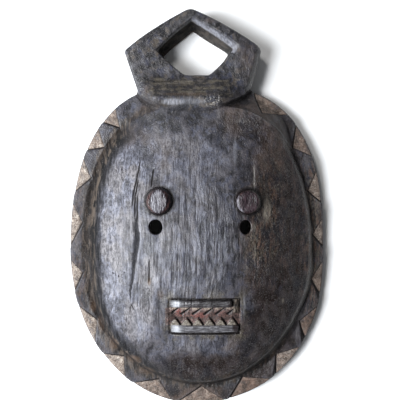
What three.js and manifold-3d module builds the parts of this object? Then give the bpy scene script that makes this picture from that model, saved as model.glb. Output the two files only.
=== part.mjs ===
// A Baule disc mask of the Kple Kple kind, carved from one block of wood: an egg-shaped disc with a
// border of cut triangles, a domed face that is hollow behind, and a five-sided arch of horns.
// Millimetres. The mask lies on the flat rim of its back, +Z comes out of the face, +Y runs up the
// face to the horns and +X to the right of someone who looks at it. All plan positions below are
// measured from the middle of the disc, and the whole is moved to the middle of its box at the end.
import * as THREE from 'three';
import { mergeVertices } from 'three/addons/utils/BufferGeometryUtils.js';
import { ConvexGeometry } from 'three/addons/geometries/ConvexGeometry.js';
import Module from 'manifold-3d';

const SECTORS = 88;
const MERGE_WITHIN = 1e-4;

// Ovals in plan. Squareness 2 is an ellipse, and lean adds to it on the side of leanAngle (degrees).
const DISC = {
  x: 0, y: 0, halfWidth: 127.8, top: 162.9, bottom: 158.6, squareness: 2.34, lean: 0.28, leanAngle: 63,
};
const VALLEY = {
  x: 5.2, y: -2.2, halfWidth: 111.4, top: 138.7, bottom: 136, squareness: 2.37, lean: 0.42, leanAngle: 125,
};

// Heights above the back of the rim, and how far the disc's edge is eased front and back
const RIM_FRONT = 16;
const EDGE_ROUND = 2;
const VALLEY_FLOOR = 13;
const SHOULDER = 27;
const CROWN = 58;

// The face and the valley rise where they meet the horns, between these sines of the plan angle.
const BROW_FROM = 0.8;
const BROW_FULL = 0.99;
const BROW_LIFT = 10;
const BROW_SHARPNESS = 5;
const VALLEY_LIFT_AT_BROW = 20;

// Plan width of the dome's side, and what it gains where it is laid back at the upper left
const DOME_SIDE = 6;
const DOME_SIDE_EXTRA = 6;
const DOME_SIDE_EXTRA_ANGLE = 140;

// Thickness over the hollow, and the hollow's upright wall just inside the dome's side
const WALL = 13;
const HOLLOW_INSET = 3;
const HOLLOW_WALL_LEAN = 2;
const HOLLOW_WALL_HEIGHT = 8;

// Shares of the way from the middle of the face to the dome's shoulder, for its rings of points
const FACE_SHARES = [0.16, 0.32, 0.47, 0.6, 0.72, 0.83, 0.92, 1];
const FEATURE_SHARES = FACE_SHARES.slice(0, 6);
const CEILING_SHARES = [0.9, 0.78, 0.62, 0.42, 0.22];

// The dome's side from the shoulder down to the valley, as shares of its width and of its height
const DOME_SIDE_STEPS = [[0.3, 0.22], [0.72, 0.72], [1, 1]];

// Border of light triangles, each cut down from the rim's front and open at the disc's edge
const TRIANGLE_STARTS = [
  120.6, 129.9, 142.3, 160.6, 185.8, 206.4, 228.7, 244.7, 263, 281.7, 300.7, 318.4, 337.5, 359, 378.7,
  397.6, 415,
];
const LAST_TRIANGLE_END = 429.9;
const TRIANGLE_GAP = { ends: 1.2, sides: 4.6 };
const TRIANGLE_TIP = { share: 0.48, lean: 0.13, leanAngle: 225 };
const TRIANGLE_CUT_AT_EDGE = 1.8;
const TRIANGLE_CUT_AT_TIP = 0.5;
const BORDER_WIDTH = { sides: 11.5, ends: 6.2, top: 2.5 };
const LEAST_LIP = 0.1;
const CUT_CLEARANCE = 4;

// Horn arch: outer corners, the five corners of its opening in front and behind, and its heights
const ARCH_CENTRE = [-0.8, 192];
const ARCH_APEX = [-6.6, 234.2];
const ARCH_RIGHT = [64, 194];
const ARCH_LEFT = [-71.4, 192];
const ARCH_FOOT_RIGHT = [54, 156.4];
const ARCH_FOOT_LEFT = [-57.3, 150.5];
const ARCH_BOW = 2.8;
const ARCH_BOW_STEPS = 4;
const BASE_ARC_LOW = 134.8;
const BASE_ARC_STEPS = 8;
const BASE_ARC_FULLNESS = 0.8;
const OPENING_FRONT = [[-4.6, 222.8], [-38.8, 192.5], [-11.5, 168.1], [12, 168.1], [36.4, 195.4]];
const OPENING_BACK = [[-3, 221], [-33.2, 193.3], [-9.5, 171.5], [9.5, 171.5], [28.3, 193.9]];
const ARCH_BACK = 3;

// Front of the arch across its width, as shares of the way from the opening to the outside. Its base
// rises from the opening to a straight crest, has a worn band below it and drops to the brow.
const ARCH_ACROSS = [0.06, 0.35, 0.66, 0.86, 0.96];
const ARCH_HEIGHTS = [31, 32.5, 32.5, 31.5, 29.5];
const BASE_HEIGHTS = [34, 39, 45.5, 44, 37];
const CREST_LINE = 144.4;
const BAND_SHARE = 0.6;
const BASE_FROM = 0.55;
const BASE_FULL = 0.82;
const EDGE_DROP = 3;

// Eyes: round bosses, and the holes that the wearer looks through
const BOSSES = [{ x: -35.8, y: 44.6, radius: 12.9 }, { x: 48.4, y: 44.2, radius: 12.1 }];
const BOSS_HEIGHT = 9.5;
const BOSS_ROOT = 9;
const BOSS_PROFILE = [[1, 0.45], [0.93, 0.78], [0.74, 0.96], [0.4, 1]];
const BOSS_SEGMENTS = 28;
const EYE_HOLES = [
  { x: -38.9, y: 20.3, width: 12.8, height: 13.9 },
  { x: 46.2, y: 20.3, width: 10.8, height: 13.3 },
];
const HOLE_SEGMENTS = 24;

// Mouth: a sunk panel with two lips and two rows of teeth
const MOUTH = { left: -26.9, right: 41.8, top: -47.2, bottom: -81.6 };
const MOUTH_DEPTH = 3.5;
const MOUTH_ROUND = 1;
const LIP_STANDS = 2;
const LIP_ROUND = 2.6;
const FEATURE_ROOT = 2;
const UPPER_LIP = { left: -25.4, right: 33.2, top: -48.6, bottom: -55.4 };
const LOWER_LIP = { left: -26, right: 40.8, top: -72.8, bottom: -80.3 };
const TEETH = 6;
const TOOTH_PITCH = 10.9;
const TOOTH_SUNK = 0.8;
const UPPER_TOOTH = { first: -26.6, width: 9.6, tip: 1, reach: 6.6 };
const LOWER_TOOTH = { first: -26.2, width: 10.4, tip: 6.2, reach: 7 };
const TOOTH_ROOT = 0.6;

// Levels below and above every point of the face, for upright blocks that pass through it. A block
// starts just over the flat floor of the space under the face, so that it can be cut clean by it.
const BELOW_FACE = 25;
const ABOVE_FACE = 90;
const OVER_FLOOR = 1;

const radians = THREE.MathUtils.degToRad;
const mix = THREE.MathUtils.lerp;
const smooth = THREE.MathUtils.smoothstep;

const wasm = await Module();
wasm.setup();

// A closed geometry as a solid for joining and cutting
function solid(geometry) {
  const bare = geometry.clone();
  bare.deleteAttribute('normal');
  bare.deleteAttribute('uv');
  const merged = mergeVertices(bare, MERGE_WITHIN);
  return new wasm.Manifold(
    new wasm.Mesh({
      numProp: 3,
      vertProperties: new Float32Array(merged.attributes.position.array),
      triVerts: new Uint32Array(merged.index.array),
    }),
  );
}

function geometryOf(body) {
  const mesh = body.getMesh();
  const geometry = new THREE.BufferGeometry();
  geometry.setAttribute('position', new THREE.BufferAttribute(mesh.vertProperties, 3));
  geometry.setIndex(new THREE.BufferAttribute(mesh.triVerts, 1));
  geometry.computeVertexNormals();
  return geometry;
}

// Distance from an oval's middle to its edge at an angle
function ovalRadius(oval, angle) {
  const power = oval.squareness + oval.lean * Math.cos(angle - radians(oval.leanAngle));
  const long = Math.sin(angle) > 0 ? oval.top : oval.bottom;
  const across = Math.abs(Math.cos(angle) / oval.halfWidth) ** power;
  const along = Math.abs(Math.sin(angle) / long) ** power;
  return (across + along) ** (-1 / power);
}

function onOval(oval, angle, inset) {
  const radius = ovalRadius(oval, angle) - inset;
  return [oval.x + radius * Math.cos(angle), oval.y + radius * Math.sin(angle)];
}

// How far an angle points at the brow, where the dome runs on into the base of the horns
function browShare(angle) {
  return smooth(Math.sin(angle), BROW_FROM, BROW_FULL);
}

// Plan width of the dome's side, which is laid back at the upper left
function sideWidth(angle) {
  const turned = Math.cos(angle - radians(DOME_SIDE_EXTRA_ANGLE));
  return DOME_SIDE + DOME_SIDE_EXTRA * Math.max(0, turned) ** 2;
}

function shoulderRadius(angle) {
  return ovalRadius(VALLEY, angle) - sideWidth(angle);
}

// Height of the face at a share of the way from its middle to the dome's shoulder
function faceHeight(angle, share) {
  const lift = BROW_LIFT * browShare(angle) * share ** BROW_SHARPNESS;
  return CROWN - (CROWN - SHOULDER) * share ** 2 + lift;
}

function faceHeightAt(x, y) {
  const angle = Math.atan2(y - VALLEY.y, x - VALLEY.x);
  const distance = Math.hypot(x - VALLEY.x, y - VALLEY.y);
  return faceHeight(angle, distance / shoulderRadius(angle));
}

function onFace(angle, share, sink) {
  const radius = shoulderRadius(angle) * share;
  const x = VALLEY.x + radius * Math.cos(angle);
  const y = VALLEY.y + radius * Math.sin(angle);
  return [x, y, faceHeight(angle, share) - sink];
}

// A skin over closed rings of points, shut at a first and a last pole, with its faces pointing out
function skinOver(rings, firstPole, lastPole) {
  const count = rings[0].length;
  const positions = [...firstPole];
  for (const ring of rings) {
    for (const point of ring) positions.push(...point);
  }
  positions.push(...lastPole);
  const last = 1 + rings.length * count;
  const at = (ring, sector) => 1 + ring * count + (sector % count);
  const index = [];
  for (let sector = 0; sector < count; sector += 1) {
    index.push(0, at(0, sector), at(0, sector + 1));
    for (let ring = 0; ring + 1 < rings.length; ring += 1) {
      index.push(at(ring, sector), at(ring + 1, sector), at(ring + 1, sector + 1));
      index.push(at(ring, sector), at(ring + 1, sector + 1), at(ring, sector + 1));
    }
    index.push(at(rings.length - 1, sector), last, at(rings.length - 1, sector + 1));
  }
  const geometry = new THREE.BufferGeometry();
  geometry.setAttribute('position', new THREE.Float32BufferAttribute(positions, 3));
  geometry.setIndex(index);
  return geometry;
}

function ringOf(pointAt) {
  return Array.from({ length: SECTORS }, (_, sector) => pointAt((sector / SECTORS) * 2 * Math.PI));
}

// The carved border is narrow at the sides, wider at the foot and widest beside the horns.
function borderWidth(angle) {
  const { sides, ends, top } = BORDER_WIDTH;
  return sides + ends * Math.sin(angle) ** 2 + top * Math.max(0, Math.sin(angle));
}

// A point of the rim at a share of the way from the valley to the disc's edge
function onRim(angle, share, height) {
  const inner = onOval(VALLEY, angle, 0);
  const outer = onOval(DISC, angle, 0);
  return [mix(inner[0], outer[0], share), mix(inner[1], outer[1], share), height];
}

function discBody() {
  const rings = FACE_SHARES.map((share) => ringOf((angle) => onFace(angle, share, 0)));

  // Side of the dome, rounded over at the shoulder, down to the valley
  for (const [out, down] of DOME_SIDE_STEPS) {
    rings.push(ringOf((angle) => {
      const [x, y] = onOval(VALLEY, angle, sideWidth(angle) * (1 - out));
      const floor = VALLEY_FLOOR + VALLEY_LIFT_AT_BROW * browShare(angle);
      return [x, y, mix(faceHeight(angle, 1), floor, down)];
    }));
  }

  // Rim, from the foot of the border to the disc's edge and round to the back
  rings.push(ringOf((angle) => {
    const inner = onOval(VALLEY, angle, 0);
    const outer = onOval(DISC, angle, 0);
    const width = Math.hypot(outer[0] - inner[0], outer[1] - inner[1]);
    return onRim(angle, Math.max(LEAST_LIP, 1 - borderWidth(angle) / width), RIM_FRONT);
  }));
  rings.push(ringOf((angle) => [...onOval(DISC, angle, EDGE_ROUND), RIM_FRONT]));
  rings.push(ringOf((angle) => [...onOval(DISC, angle, 0), RIM_FRONT - EDGE_ROUND]));
  rings.push(ringOf((angle) => [...onOval(DISC, angle, 0), EDGE_ROUND]));
  rings.push(ringOf((angle) => [...onOval(DISC, angle, EDGE_ROUND), 0]));

  // Hollow of the back, from the flat rim up the wall and over the ceiling
  const inset = (angle) => sideWidth(angle) + HOLLOW_INSET;
  rings.push(ringOf((angle) => [...onOval(VALLEY, angle, inset(angle)), 0]));
  rings.push(ringOf((angle) => [
    ...onOval(VALLEY, angle, inset(angle) + HOLLOW_WALL_LEAN),
    HOLLOW_WALL_HEIGHT,
  ]));
  for (const share of CEILING_SHARES) {
    rings.push(ringOf((angle) => onFace(angle, share, WALL)));
  }
  return solid(skinOver(rings, [VALLEY.x, VALLEY.y, CROWN], [VALLEY.x, VALLEY.y, CROWN - WALL]));
}

// Where a ray from the arch's centre leaves a ring of corners that run anticlockwise
function rayTo(corners, angle) {
  const [dx, dy] = [Math.cos(angle), Math.sin(angle)];
  let found = 0;
  corners.forEach((corner, k) => {
    const next = corners[(k + 1) % corners.length];
    const [ax, ay] = [corner[0] - ARCH_CENTRE[0], corner[1] - ARCH_CENTRE[1]];
    const [ex, ey] = [next[0] - corner[0], next[1] - corner[1]];
    const turn = dx * ey - dy * ex;
    const along = (ax * ey - ay * ex) / turn;
    const share = (ax * dy - ay * dx) / turn;
    if (along > 0 && share >= 0 && share <= 1) found = along;
  });
  return found;
}

// Points from one corner up to the next along an edge that is bowed outwards
function bowedEdge(from, to) {
  const length = Math.hypot(to[0] - from[0], to[1] - from[1]);
  const outward = [(to[1] - from[1]) / length, (from[0] - to[0]) / length];
  return Array.from({ length: ARCH_BOW_STEPS }, (_, step) => {
    const share = step / ARCH_BOW_STEPS;
    const bow = ARCH_BOW * 4 * share * (1 - share);
    return [
      mix(from[0], to[0], share) + bow * outward[0],
      mix(from[1], to[1], share) + bow * outward[1],
    ];
  });
}

// Outside of the arch, and of its base, whose lower edge is an arc over the brow
function archOutline() {
  const outline = [...bowedEdge(ARCH_RIGHT, ARCH_APEX), ...bowedEdge(ARCH_APEX, ARCH_LEFT), ARCH_LEFT];
  for (let step = 0; step <= BASE_ARC_STEPS; step += 1) {
    const share = step / BASE_ARC_STEPS;
    const footLine = mix(ARCH_FOOT_LEFT[1], ARCH_FOOT_RIGHT[1], share);
    const sag = (1 - (2 * share - 1) ** 2) ** BASE_ARC_FULLNESS;
    outline.push([mix(ARCH_FOOT_LEFT[0], ARCH_FOOT_RIGHT[0], share), mix(footLine, BASE_ARC_LOW, sag)]);
  }
  return outline;
}

function archBody() {
  const outline = archOutline();
  const sections = ringOf((angle) => {
    const inFront = rayTo(OPENING_FRONT, angle);
    const inBack = rayTo(OPENING_BACK, angle);
    const outside = rayTo(outline, angle);
    const baseShare = smooth(-Math.sin(angle), BASE_FROM, BASE_FULL);
    const heights = ARCH_HEIGHTS.map((height, k) => mix(height, BASE_HEIGHTS[k], baseShare));
    const crestRadius = (CREST_LINE - ARCH_CENTRE[1]) / Math.min(-BASE_FROM, Math.sin(angle));
    const crest = (crestRadius - inFront) / (outside - inFront);
    const inner = ARCH_ACROSS[0];
    const outer = ARCH_ACROSS[ARCH_ACROSS.length - 1];
    const baseAcross = [inner, crest / 2, crest, mix(crest, 1, BAND_SHARE), outer];
    const across = ARCH_ACROSS.map((share, k) => mix(share, baseAcross[k], baseShare));
    const at = (radius, height) => [
      ARCH_CENTRE[0] + radius * Math.cos(angle),
      ARCH_CENTRE[1] + radius * Math.sin(angle),
      height,
    ];
    return [
      at(inBack, ARCH_BACK),
      at(inFront, heights[0] - EDGE_DROP),
      ...across.map((share, k) => at(mix(inFront, outside, share), heights[k])),
      at(outside, heights[heights.length - 1] - EDGE_DROP),
      at(outside, ARCH_BACK + EDGE_DROP),
      at(outside - EDGE_DROP, ARCH_BACK),
    ];
  });
  const around = sections.length;
  const count = sections[0].length;
  const index = [];
  for (let i = 0; i < around; i += 1) {
    for (let j = 0; j < count; j += 1) {
      const here = i * count + j;
      const up = i * count + ((j + 1) % count);
      const beside = ((i + 1) % around) * count + j;
      const both = ((i + 1) % around) * count + ((j + 1) % count);
      index.push(here, up, both, here, both, beside);
    }
  }
  const geometry = new THREE.BufferGeometry();
  geometry.setAttribute('position', new THREE.Float32BufferAttribute(sections.flat(2), 3));
  geometry.setIndex(index);
  return solid(geometry);
}

// The wedge between a triangle's sunk floor and the air in front of it
function triangleCut(start, end) {
  const turned = Math.cos(2 * radians(start - TRIANGLE_TIP.leanAngle));
  const tipAngle = radians(mix(start, end, TRIANGLE_TIP.share + TRIANGLE_TIP.lean * turned));
  const onEdge = [start, (start + end) / 2, end];
  const corners = onEdge.map((degrees) => onOval(DISC, radians(degrees), -CUT_CLEARANCE));
  const tip = onOval(DISC, tipAngle, borderWidth(tipAngle));
  const points = [];
  for (const corner of corners) {
    points.push(new THREE.Vector3(...corner, RIM_FRONT - TRIANGLE_CUT_AT_EDGE));
    points.push(new THREE.Vector3(...corner, RIM_FRONT + CUT_CLEARANCE));
  }
  points.push(new THREE.Vector3(...tip, RIM_FRONT - TRIANGLE_CUT_AT_TIP));
  points.push(new THREE.Vector3(...tip, RIM_FRONT + CUT_CLEARANCE));
  return solid(new ConvexGeometry(points));
}

function triangleCuts() {
  return TRIANGLE_STARTS.map((start, k) => {
    if (k + 1 === TRIANGLE_STARTS.length) return triangleCut(start, LAST_TRIANGLE_END);
    const gap = TRIANGLE_GAP.ends + TRIANGLE_GAP.sides * Math.cos(radians(start)) ** 2;
    return triangleCut(start, TRIANGLE_STARTS[k + 1] - gap);
  });
}

// A low round boss with its rim rounded over
function bossBody({ x, y, radius }) {
  const profile = [
    new THREE.Vector2(0, -BOSS_ROOT),
    new THREE.Vector2(radius, -BOSS_ROOT),
    ...BOSS_PROFILE.map(([out, up]) => new THREE.Vector2(out * radius, up * BOSS_HEIGHT)),
    new THREE.Vector2(0, BOSS_HEIGHT),
  ];
  const geometry = new THREE.LatheGeometry(profile, BOSS_SEGMENTS);
  geometry.rotateX(Math.PI / 2);
  geometry.translate(x, y, faceHeightAt(x, y));
  return solid(geometry);
}

function eyeHole({ x, y, width, height }) {
  const geometry = new THREE.CylinderGeometry(0.5, 0.5, ABOVE_FACE - BELOW_FACE, HOLE_SEGMENTS);
  geometry.rotateX(Math.PI / 2);
  geometry.scale(width, height, 1);
  geometry.translate(x, y, (ABOVE_FACE + BELOW_FACE) / 2);
  return solid(geometry);
}

// The space under the face when it is moved out or in, down to a flat floor
function underFace(sink) {
  const rings = FEATURE_SHARES.map((share) => ringOf((angle) => onFace(angle, share, sink)));
  const widest = rings[rings.length - 1];
  rings.push(widest.map(([x, y]) => [x, y, BELOW_FACE]));
  return solid(skinOver(rings, [VALLEY.x, VALLEY.y, CROWN - sink], [VALLEY.x, VALLEY.y, BELOW_FACE]));
}

// An upright block over a flat outline, tall enough to reach through the face
function upright(shape) {
  const depth = ABOVE_FACE - BELOW_FACE;
  const geometry = new THREE.ExtrudeGeometry(shape, { depth, bevelEnabled: false, curveSegments: 4 });
  geometry.translate(0, 0, BELOW_FACE + OVER_FLOOR);
  return solid(geometry);
}

function roundedShape({ left, right, top, bottom }, round) {
  const shape = new THREE.Shape();
  shape.moveTo(left + round, bottom);
  shape.lineTo(right - round, bottom);
  shape.absarc(right - round, bottom + round, round, -Math.PI / 2, 0);
  shape.lineTo(right, top - round);
  shape.absarc(right - round, top - round, round, 0, Math.PI / 2);
  shape.lineTo(left + round, top);
  shape.absarc(left + round, top - round, round, Math.PI / 2, Math.PI);
  shape.lineTo(left, bottom + round);
  shape.absarc(left + round, bottom + round, round, Math.PI, 1.5 * Math.PI);
  return shape;
}

function toothShapes({ first, width, tip, reach }, rootLine, direction) {
  return Array.from({ length: TEETH }, (_, k) => {
    const left = first + k * TOOTH_PITCH;
    const root = rootLine - direction * TOOTH_ROOT;
    const points = [[left, root], [left + tip, rootLine + direction * reach], [left + width, root]];
    return new THREE.Shape(points.map(([x, y]) => new THREE.Vector2(x, y)));
  });
}

function withMouth(body) {
  const sunk = upright(roundedShape(MOUTH, MOUTH_ROUND)).subtract(underFace(MOUTH_DEPTH));
  const lips = [UPPER_LIP, LOWER_LIP].map((lip) => upright(roundedShape(lip, LIP_ROUND)));
  const rooted = underFace(MOUTH_DEPTH + FEATURE_ROOT);
  const lipSpace = underFace(-LIP_STANDS).subtract(rooted);
  const toothSpace = underFace(TOOTH_SUNK).subtract(rooted);
  const teeth = [
    ...toothShapes(UPPER_TOOTH, UPPER_LIP.bottom, -1),
    ...toothShapes(LOWER_TOOTH, LOWER_LIP.top, 1),
  ];
  let carved = body.subtract(sunk);
  for (const lip of lips) carved = carved.add(lip.intersect(lipSpace));
  for (const tooth of teeth) carved = carved.add(upright(tooth).intersect(toothSpace));
  return carved;
}

let body = discBody().add(archBody());
for (const cut of triangleCuts()) body = body.subtract(cut);
for (const boss of BOSSES) body = body.add(bossBody(boss));
body = withMouth(body);
for (const hole of EYE_HOLES) body = body.subtract(eyeHole(hole));

const darkWood = new THREE.MeshStandardMaterial({ color: 0x5a5350, roughness: 0.55, metalness: 0 });
const mask = new THREE.Mesh(geometryOf(body), darkWood);
mask.name = 'mask';
mask.geometry.computeBoundingBox();
const middle = mask.geometry.boundingBox.getCenter(new THREE.Vector3());
mask.position.set(-middle.x, -middle.y, 0);

const group = new THREE.Group();
group.add(mask);
export default group;
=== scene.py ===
"""A horned disc mask, carved from one block of dark wood, lying on a pale floor.

The carving's front and back are heights over its plan. Shape functions work in millimetres, and
plan positions are measured from the middle of the disc: x to the right, y up the face. The finished
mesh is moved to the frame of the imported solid, in metres.
"""
import math

import bpy
import numpy as np
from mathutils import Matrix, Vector


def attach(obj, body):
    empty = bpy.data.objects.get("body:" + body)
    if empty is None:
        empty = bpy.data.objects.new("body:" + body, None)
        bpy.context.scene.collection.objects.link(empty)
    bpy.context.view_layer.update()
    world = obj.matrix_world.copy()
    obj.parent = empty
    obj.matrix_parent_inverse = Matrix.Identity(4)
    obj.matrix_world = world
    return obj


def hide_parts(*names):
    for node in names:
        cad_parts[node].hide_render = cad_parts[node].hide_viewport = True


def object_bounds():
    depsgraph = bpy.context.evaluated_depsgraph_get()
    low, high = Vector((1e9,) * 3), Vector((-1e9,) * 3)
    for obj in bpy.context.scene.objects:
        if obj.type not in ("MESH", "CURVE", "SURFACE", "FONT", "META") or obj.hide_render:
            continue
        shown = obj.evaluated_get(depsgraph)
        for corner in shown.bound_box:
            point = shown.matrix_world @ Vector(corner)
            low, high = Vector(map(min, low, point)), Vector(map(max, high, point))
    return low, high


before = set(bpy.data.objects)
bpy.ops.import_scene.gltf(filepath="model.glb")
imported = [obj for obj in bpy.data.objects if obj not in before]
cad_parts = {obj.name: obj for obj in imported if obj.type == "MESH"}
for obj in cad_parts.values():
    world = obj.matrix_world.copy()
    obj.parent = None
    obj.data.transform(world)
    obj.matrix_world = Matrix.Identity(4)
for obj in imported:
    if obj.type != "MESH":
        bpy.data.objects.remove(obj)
cad_low, cad_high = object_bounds()

MM = 0.001
CAMERA_PLACE = (0.00315, 0.00825, 0.616)
CAMERA_LENS = 53.82
SENSOR_WIDTH = 36.0

# Most triangles in the finished piece, and the spacing of the points it is worked out on
TRIANGLES = 196000
STEP_X = 0.6
STEP_Y = 0.75
WALL_STEPS = 10

# Ovals in plan. Squareness 2 is an ellipse, and lean adds to it on the side of lean_angle (degrees).
DISC = {
    "x": 0, "y": 0, "half_width": 127.8, "top": 162.9, "bottom": 158.6,
    "squareness": 2.34, "lean": 0.28, "lean_angle": 63,
}
VALLEY = {
    "x": 5.2, "y": -2.2, "half_width": 111.4, "top": 138.7, "bottom": 136,
    "squareness": 2.37, "lean": 0.42, "lean_angle": 125,
}

# Heights above the back of the rim
RIM_FRONT = 16
VALLEY_FLOOR = 13
SHOULDER = 27
CROWN = 58
BROW_LIFT = 10
BROW_TURN = 5
VALLEY_LIFT_AT_BROW = 22.5
VALLEY_LIFT_AT_RIGHT = 4
VALLEY_LIFT_AT_FOOT = 2
WALL = 13
DOME_SIDE = 6
DOME_SIDE_EXTRA = 6
DOME_SIDE_EXTRA_ANGLE = 140
HOLLOW_INSET = 3
ADZE_WIDTH = 13
ADZE_LENGTH = 31
ADZE_DEPTH = 0.5
EDGE_ROUND = 2

# Border of light triangles, by their angles on the disc's edge (degrees)
TRIANGLE_STARTS = [
    120.6, 129.9, 142.3, 160.6, 185.8, 206.4, 228.7, 244.7, 263, 281.7, 300.7, 318.4, 337.5, 359,
    378.7, 397.6, 415,
]
LAST_TRIANGLE_END = 429.9
TRIANGLE_CUT_AT_EDGE = 1.7
TRIANGLE_CUT_AT_TIP = 0.7
TRIANGLE_CUT_DEEP_SIDE = 1.5
TRIANGLE_CUT_FLAT_SIDE = 0.4
DEEP_AT_START = (187, 380)
DEEP_LINE = 0.75
FLAT_LINE = 0.3
WEDGE_ANGLE = 322
WEDGE_LINE = 2.6
BORDER_ROLL = 6

# Horn arch: corners and outward bows of its edges and of its opening, from the right round the top
ARCH_CORNERS = [(64, 194), (-6.6, 234.2), (-71.4, 192), (-57.3, 150.5), (54, 156.4)]
ARCH_BOWS = [2.8, 2.8, 0, 19, 0]
ARCH_ROUND = 3
OPENING_CORNERS = [(12, 168.1), (36.4, 195.4), (-4.6, 222.8), (-38.8, 192.5), (-11.5, 168.1)]
OPENING_BOWS = [1.5, 1.2, 1.8, 1.2, 0]
OPENING_ROUND = 1.5
OPENING_CENTRE = (-0.8, 192)
OPENING_TAPER = 4.6
ARCH_HEIGHT = 32.5
ARCH_EDGE = 3.5
OPENING_EDGE = 1.8
ARCH_BACK = 3
RIGHT_CHAMFER_WIDTH = 5.5
RIGHT_CHAMFER_DROP = 6
BEVEL_AT_CORNER = 4.4
BEVEL_AT_TOP = 2
BEVEL_DROP = 4.5

# The base of the horns rises from the opening to a straight crest, with a worn band below it that also
# carries a painted highlight
BASE_TOP = 168.1
CREST_LINE = 144.4
BASE_LEFT = (-57, -39)
BASE_RIGHT = (19, 48)
CREST_RISE = 11.5
BAND_WIDTH = 7
BAND_RISE = 9.5
BASE_FOOT = 17
FOOT_RISE = 3

# Eyes: round bosses with the tilt of their tops, and the holes that the wearer looks through
# The rubbed entry says where a boss is painted pale, as wear and a painted highlight: over its top, or along
# a crescent of its side
BOSSES = [
    {
        "x": -35.8, "y": 44.6, "radius": 13.1, "rise_to_right": 0.16,
        "flat_across": 0.58, "flat_up": 0.84, "rubbed": "top",
    },
    {
        "x": 48.4, "y": 44.2, "radius": 12.3, "rise_to_right": -0.04,
        "flat_across": 0.72, "flat_up": 0.8, "rubbed": "side",
    },
]
BOSS_HEIGHT = 9
BOSS_CHAMFER = 2.2
EYE_HOLES = [
    {"x": -38.9, "y": 20.3, "width": 13.5, "height": 14.6},
    {"x": 46.2, "y": 20.3, "width": 11.3, "height": 13.9},
]

# Mouth: a sunk panel with two lips and two rows of teeth
MOUTH = {"left": -26.9, "right": 41.8, "top": -47.2, "bottom": -82}
MOUTH_CUT = {"left": -24.4, "right": 41.8, "top": -46.3, "bottom": -83}
MOUTH_STAIN = {"left": -30, "right": 41.8, "top": -47.2, "bottom": -82}
MOUTH_DEPTH = 3.5
MOUTH_LEFT_SLOPE = 7
LIP_STANDS = 2
LIP_ROUND = 1.5
LIP_END = 9
LIP_END_DROP = 2.0
MOUTH_CHIP = {"left": 34.6, "right": 41, "top": -47.5, "bottom": -62}
CHIP_DEPTH = 1.2
TOOTH_LINE = 0.75
UPPER_LIP = {"left": -25.8, "right": 33.4, "top": -48.7, "bottom": -55.8}
LOWER_LIP = {"left": -24.8, "right": 40.4, "top": -73, "bottom": -80.6}
TEETH = 6
TOOTH_PITCH = 10.9
TOOTH_SUNK = 1.3
# Each tooth's cut gives the half widths, at its tip and at its corner, of the line right of it: cut a
# little, and painted dark as a shadow
UPPER_TOOTH = {"first": -26.6, "width": 9.4, "tip": 0.8, "reach": 6.2, "rounding": 0.4, "cut": (1.6, 0.45)}
LOWER_TOOTH = {"first": -26.2, "width": 10.4, "tip": 5.7, "reach": 7.2, "rounding": 3.5, "cut": (0.85, 0.75)}

# A long groove beside the left eye: its edges by height, from its foot up
LONG_GROOVE = {
    "up": [-54, -45, -33, -13, 8, 22, 41, 58, 66],
    "left": [-64.6, -65.3, -64.3, -63.1, -62, -60.9, -61.9, -59.8, -58.4],
    "right": [-63.8, -62.2, -60.3, -57.4, -54.1, -54.8, -56, -56.4, -58],
}
GROOVE_SLOPE = 0.4
GROOVE_EASED_ABOVE = (14, 38)

# Drying cracks that follow the grain: their points, half width and depth
CRACKS = [
    ([(-54.3, 84), (-57.4, 68.7), (-60.3, 55.5), (-61.9, 38)], 0.8, 0.9),
    ([(-56.4, 66), (-58.8, 50), (-59.4, 28)], 0.75, 0.9),
    ([(-56.6, 52), (-57.2, 24)], 0.75, 0.8),
    ([(-63.1, -53.5), (-60.2, -60)], 0.7, 0.6),
    ([(-63.1, -53.5), (-64.6, -66)], 0.7, 0.5),
    ([(-41.4, 76), (-43.6, 58)], 0.8, 1.0),
    ([(-44.2, 57), (-44.2, 32)], 0.7, 1.0),
    ([(-44.8, -9), (-45.2, -33)], 0.6, 0.8),
    ([(-21.9, 84), (-21.9, 72)], 0.6, 0.5),
    ([(55.0, 81), (54.4, 55)], 0.6, 0.5),
    ([(54.0, 55), (53.6, 33)], 0.5, 0.4),
    ([(-82, -24.7), (-80.2, -25)], 0.7, 0.8),
    ([(-76, -27.5), (-74.6, -27.2)], 0.8, 0.9),
    ([(-70, -23.4), (-68.9, -24)], 0.7, 0.7),
]
SMALL_CRACKS = 84
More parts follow.
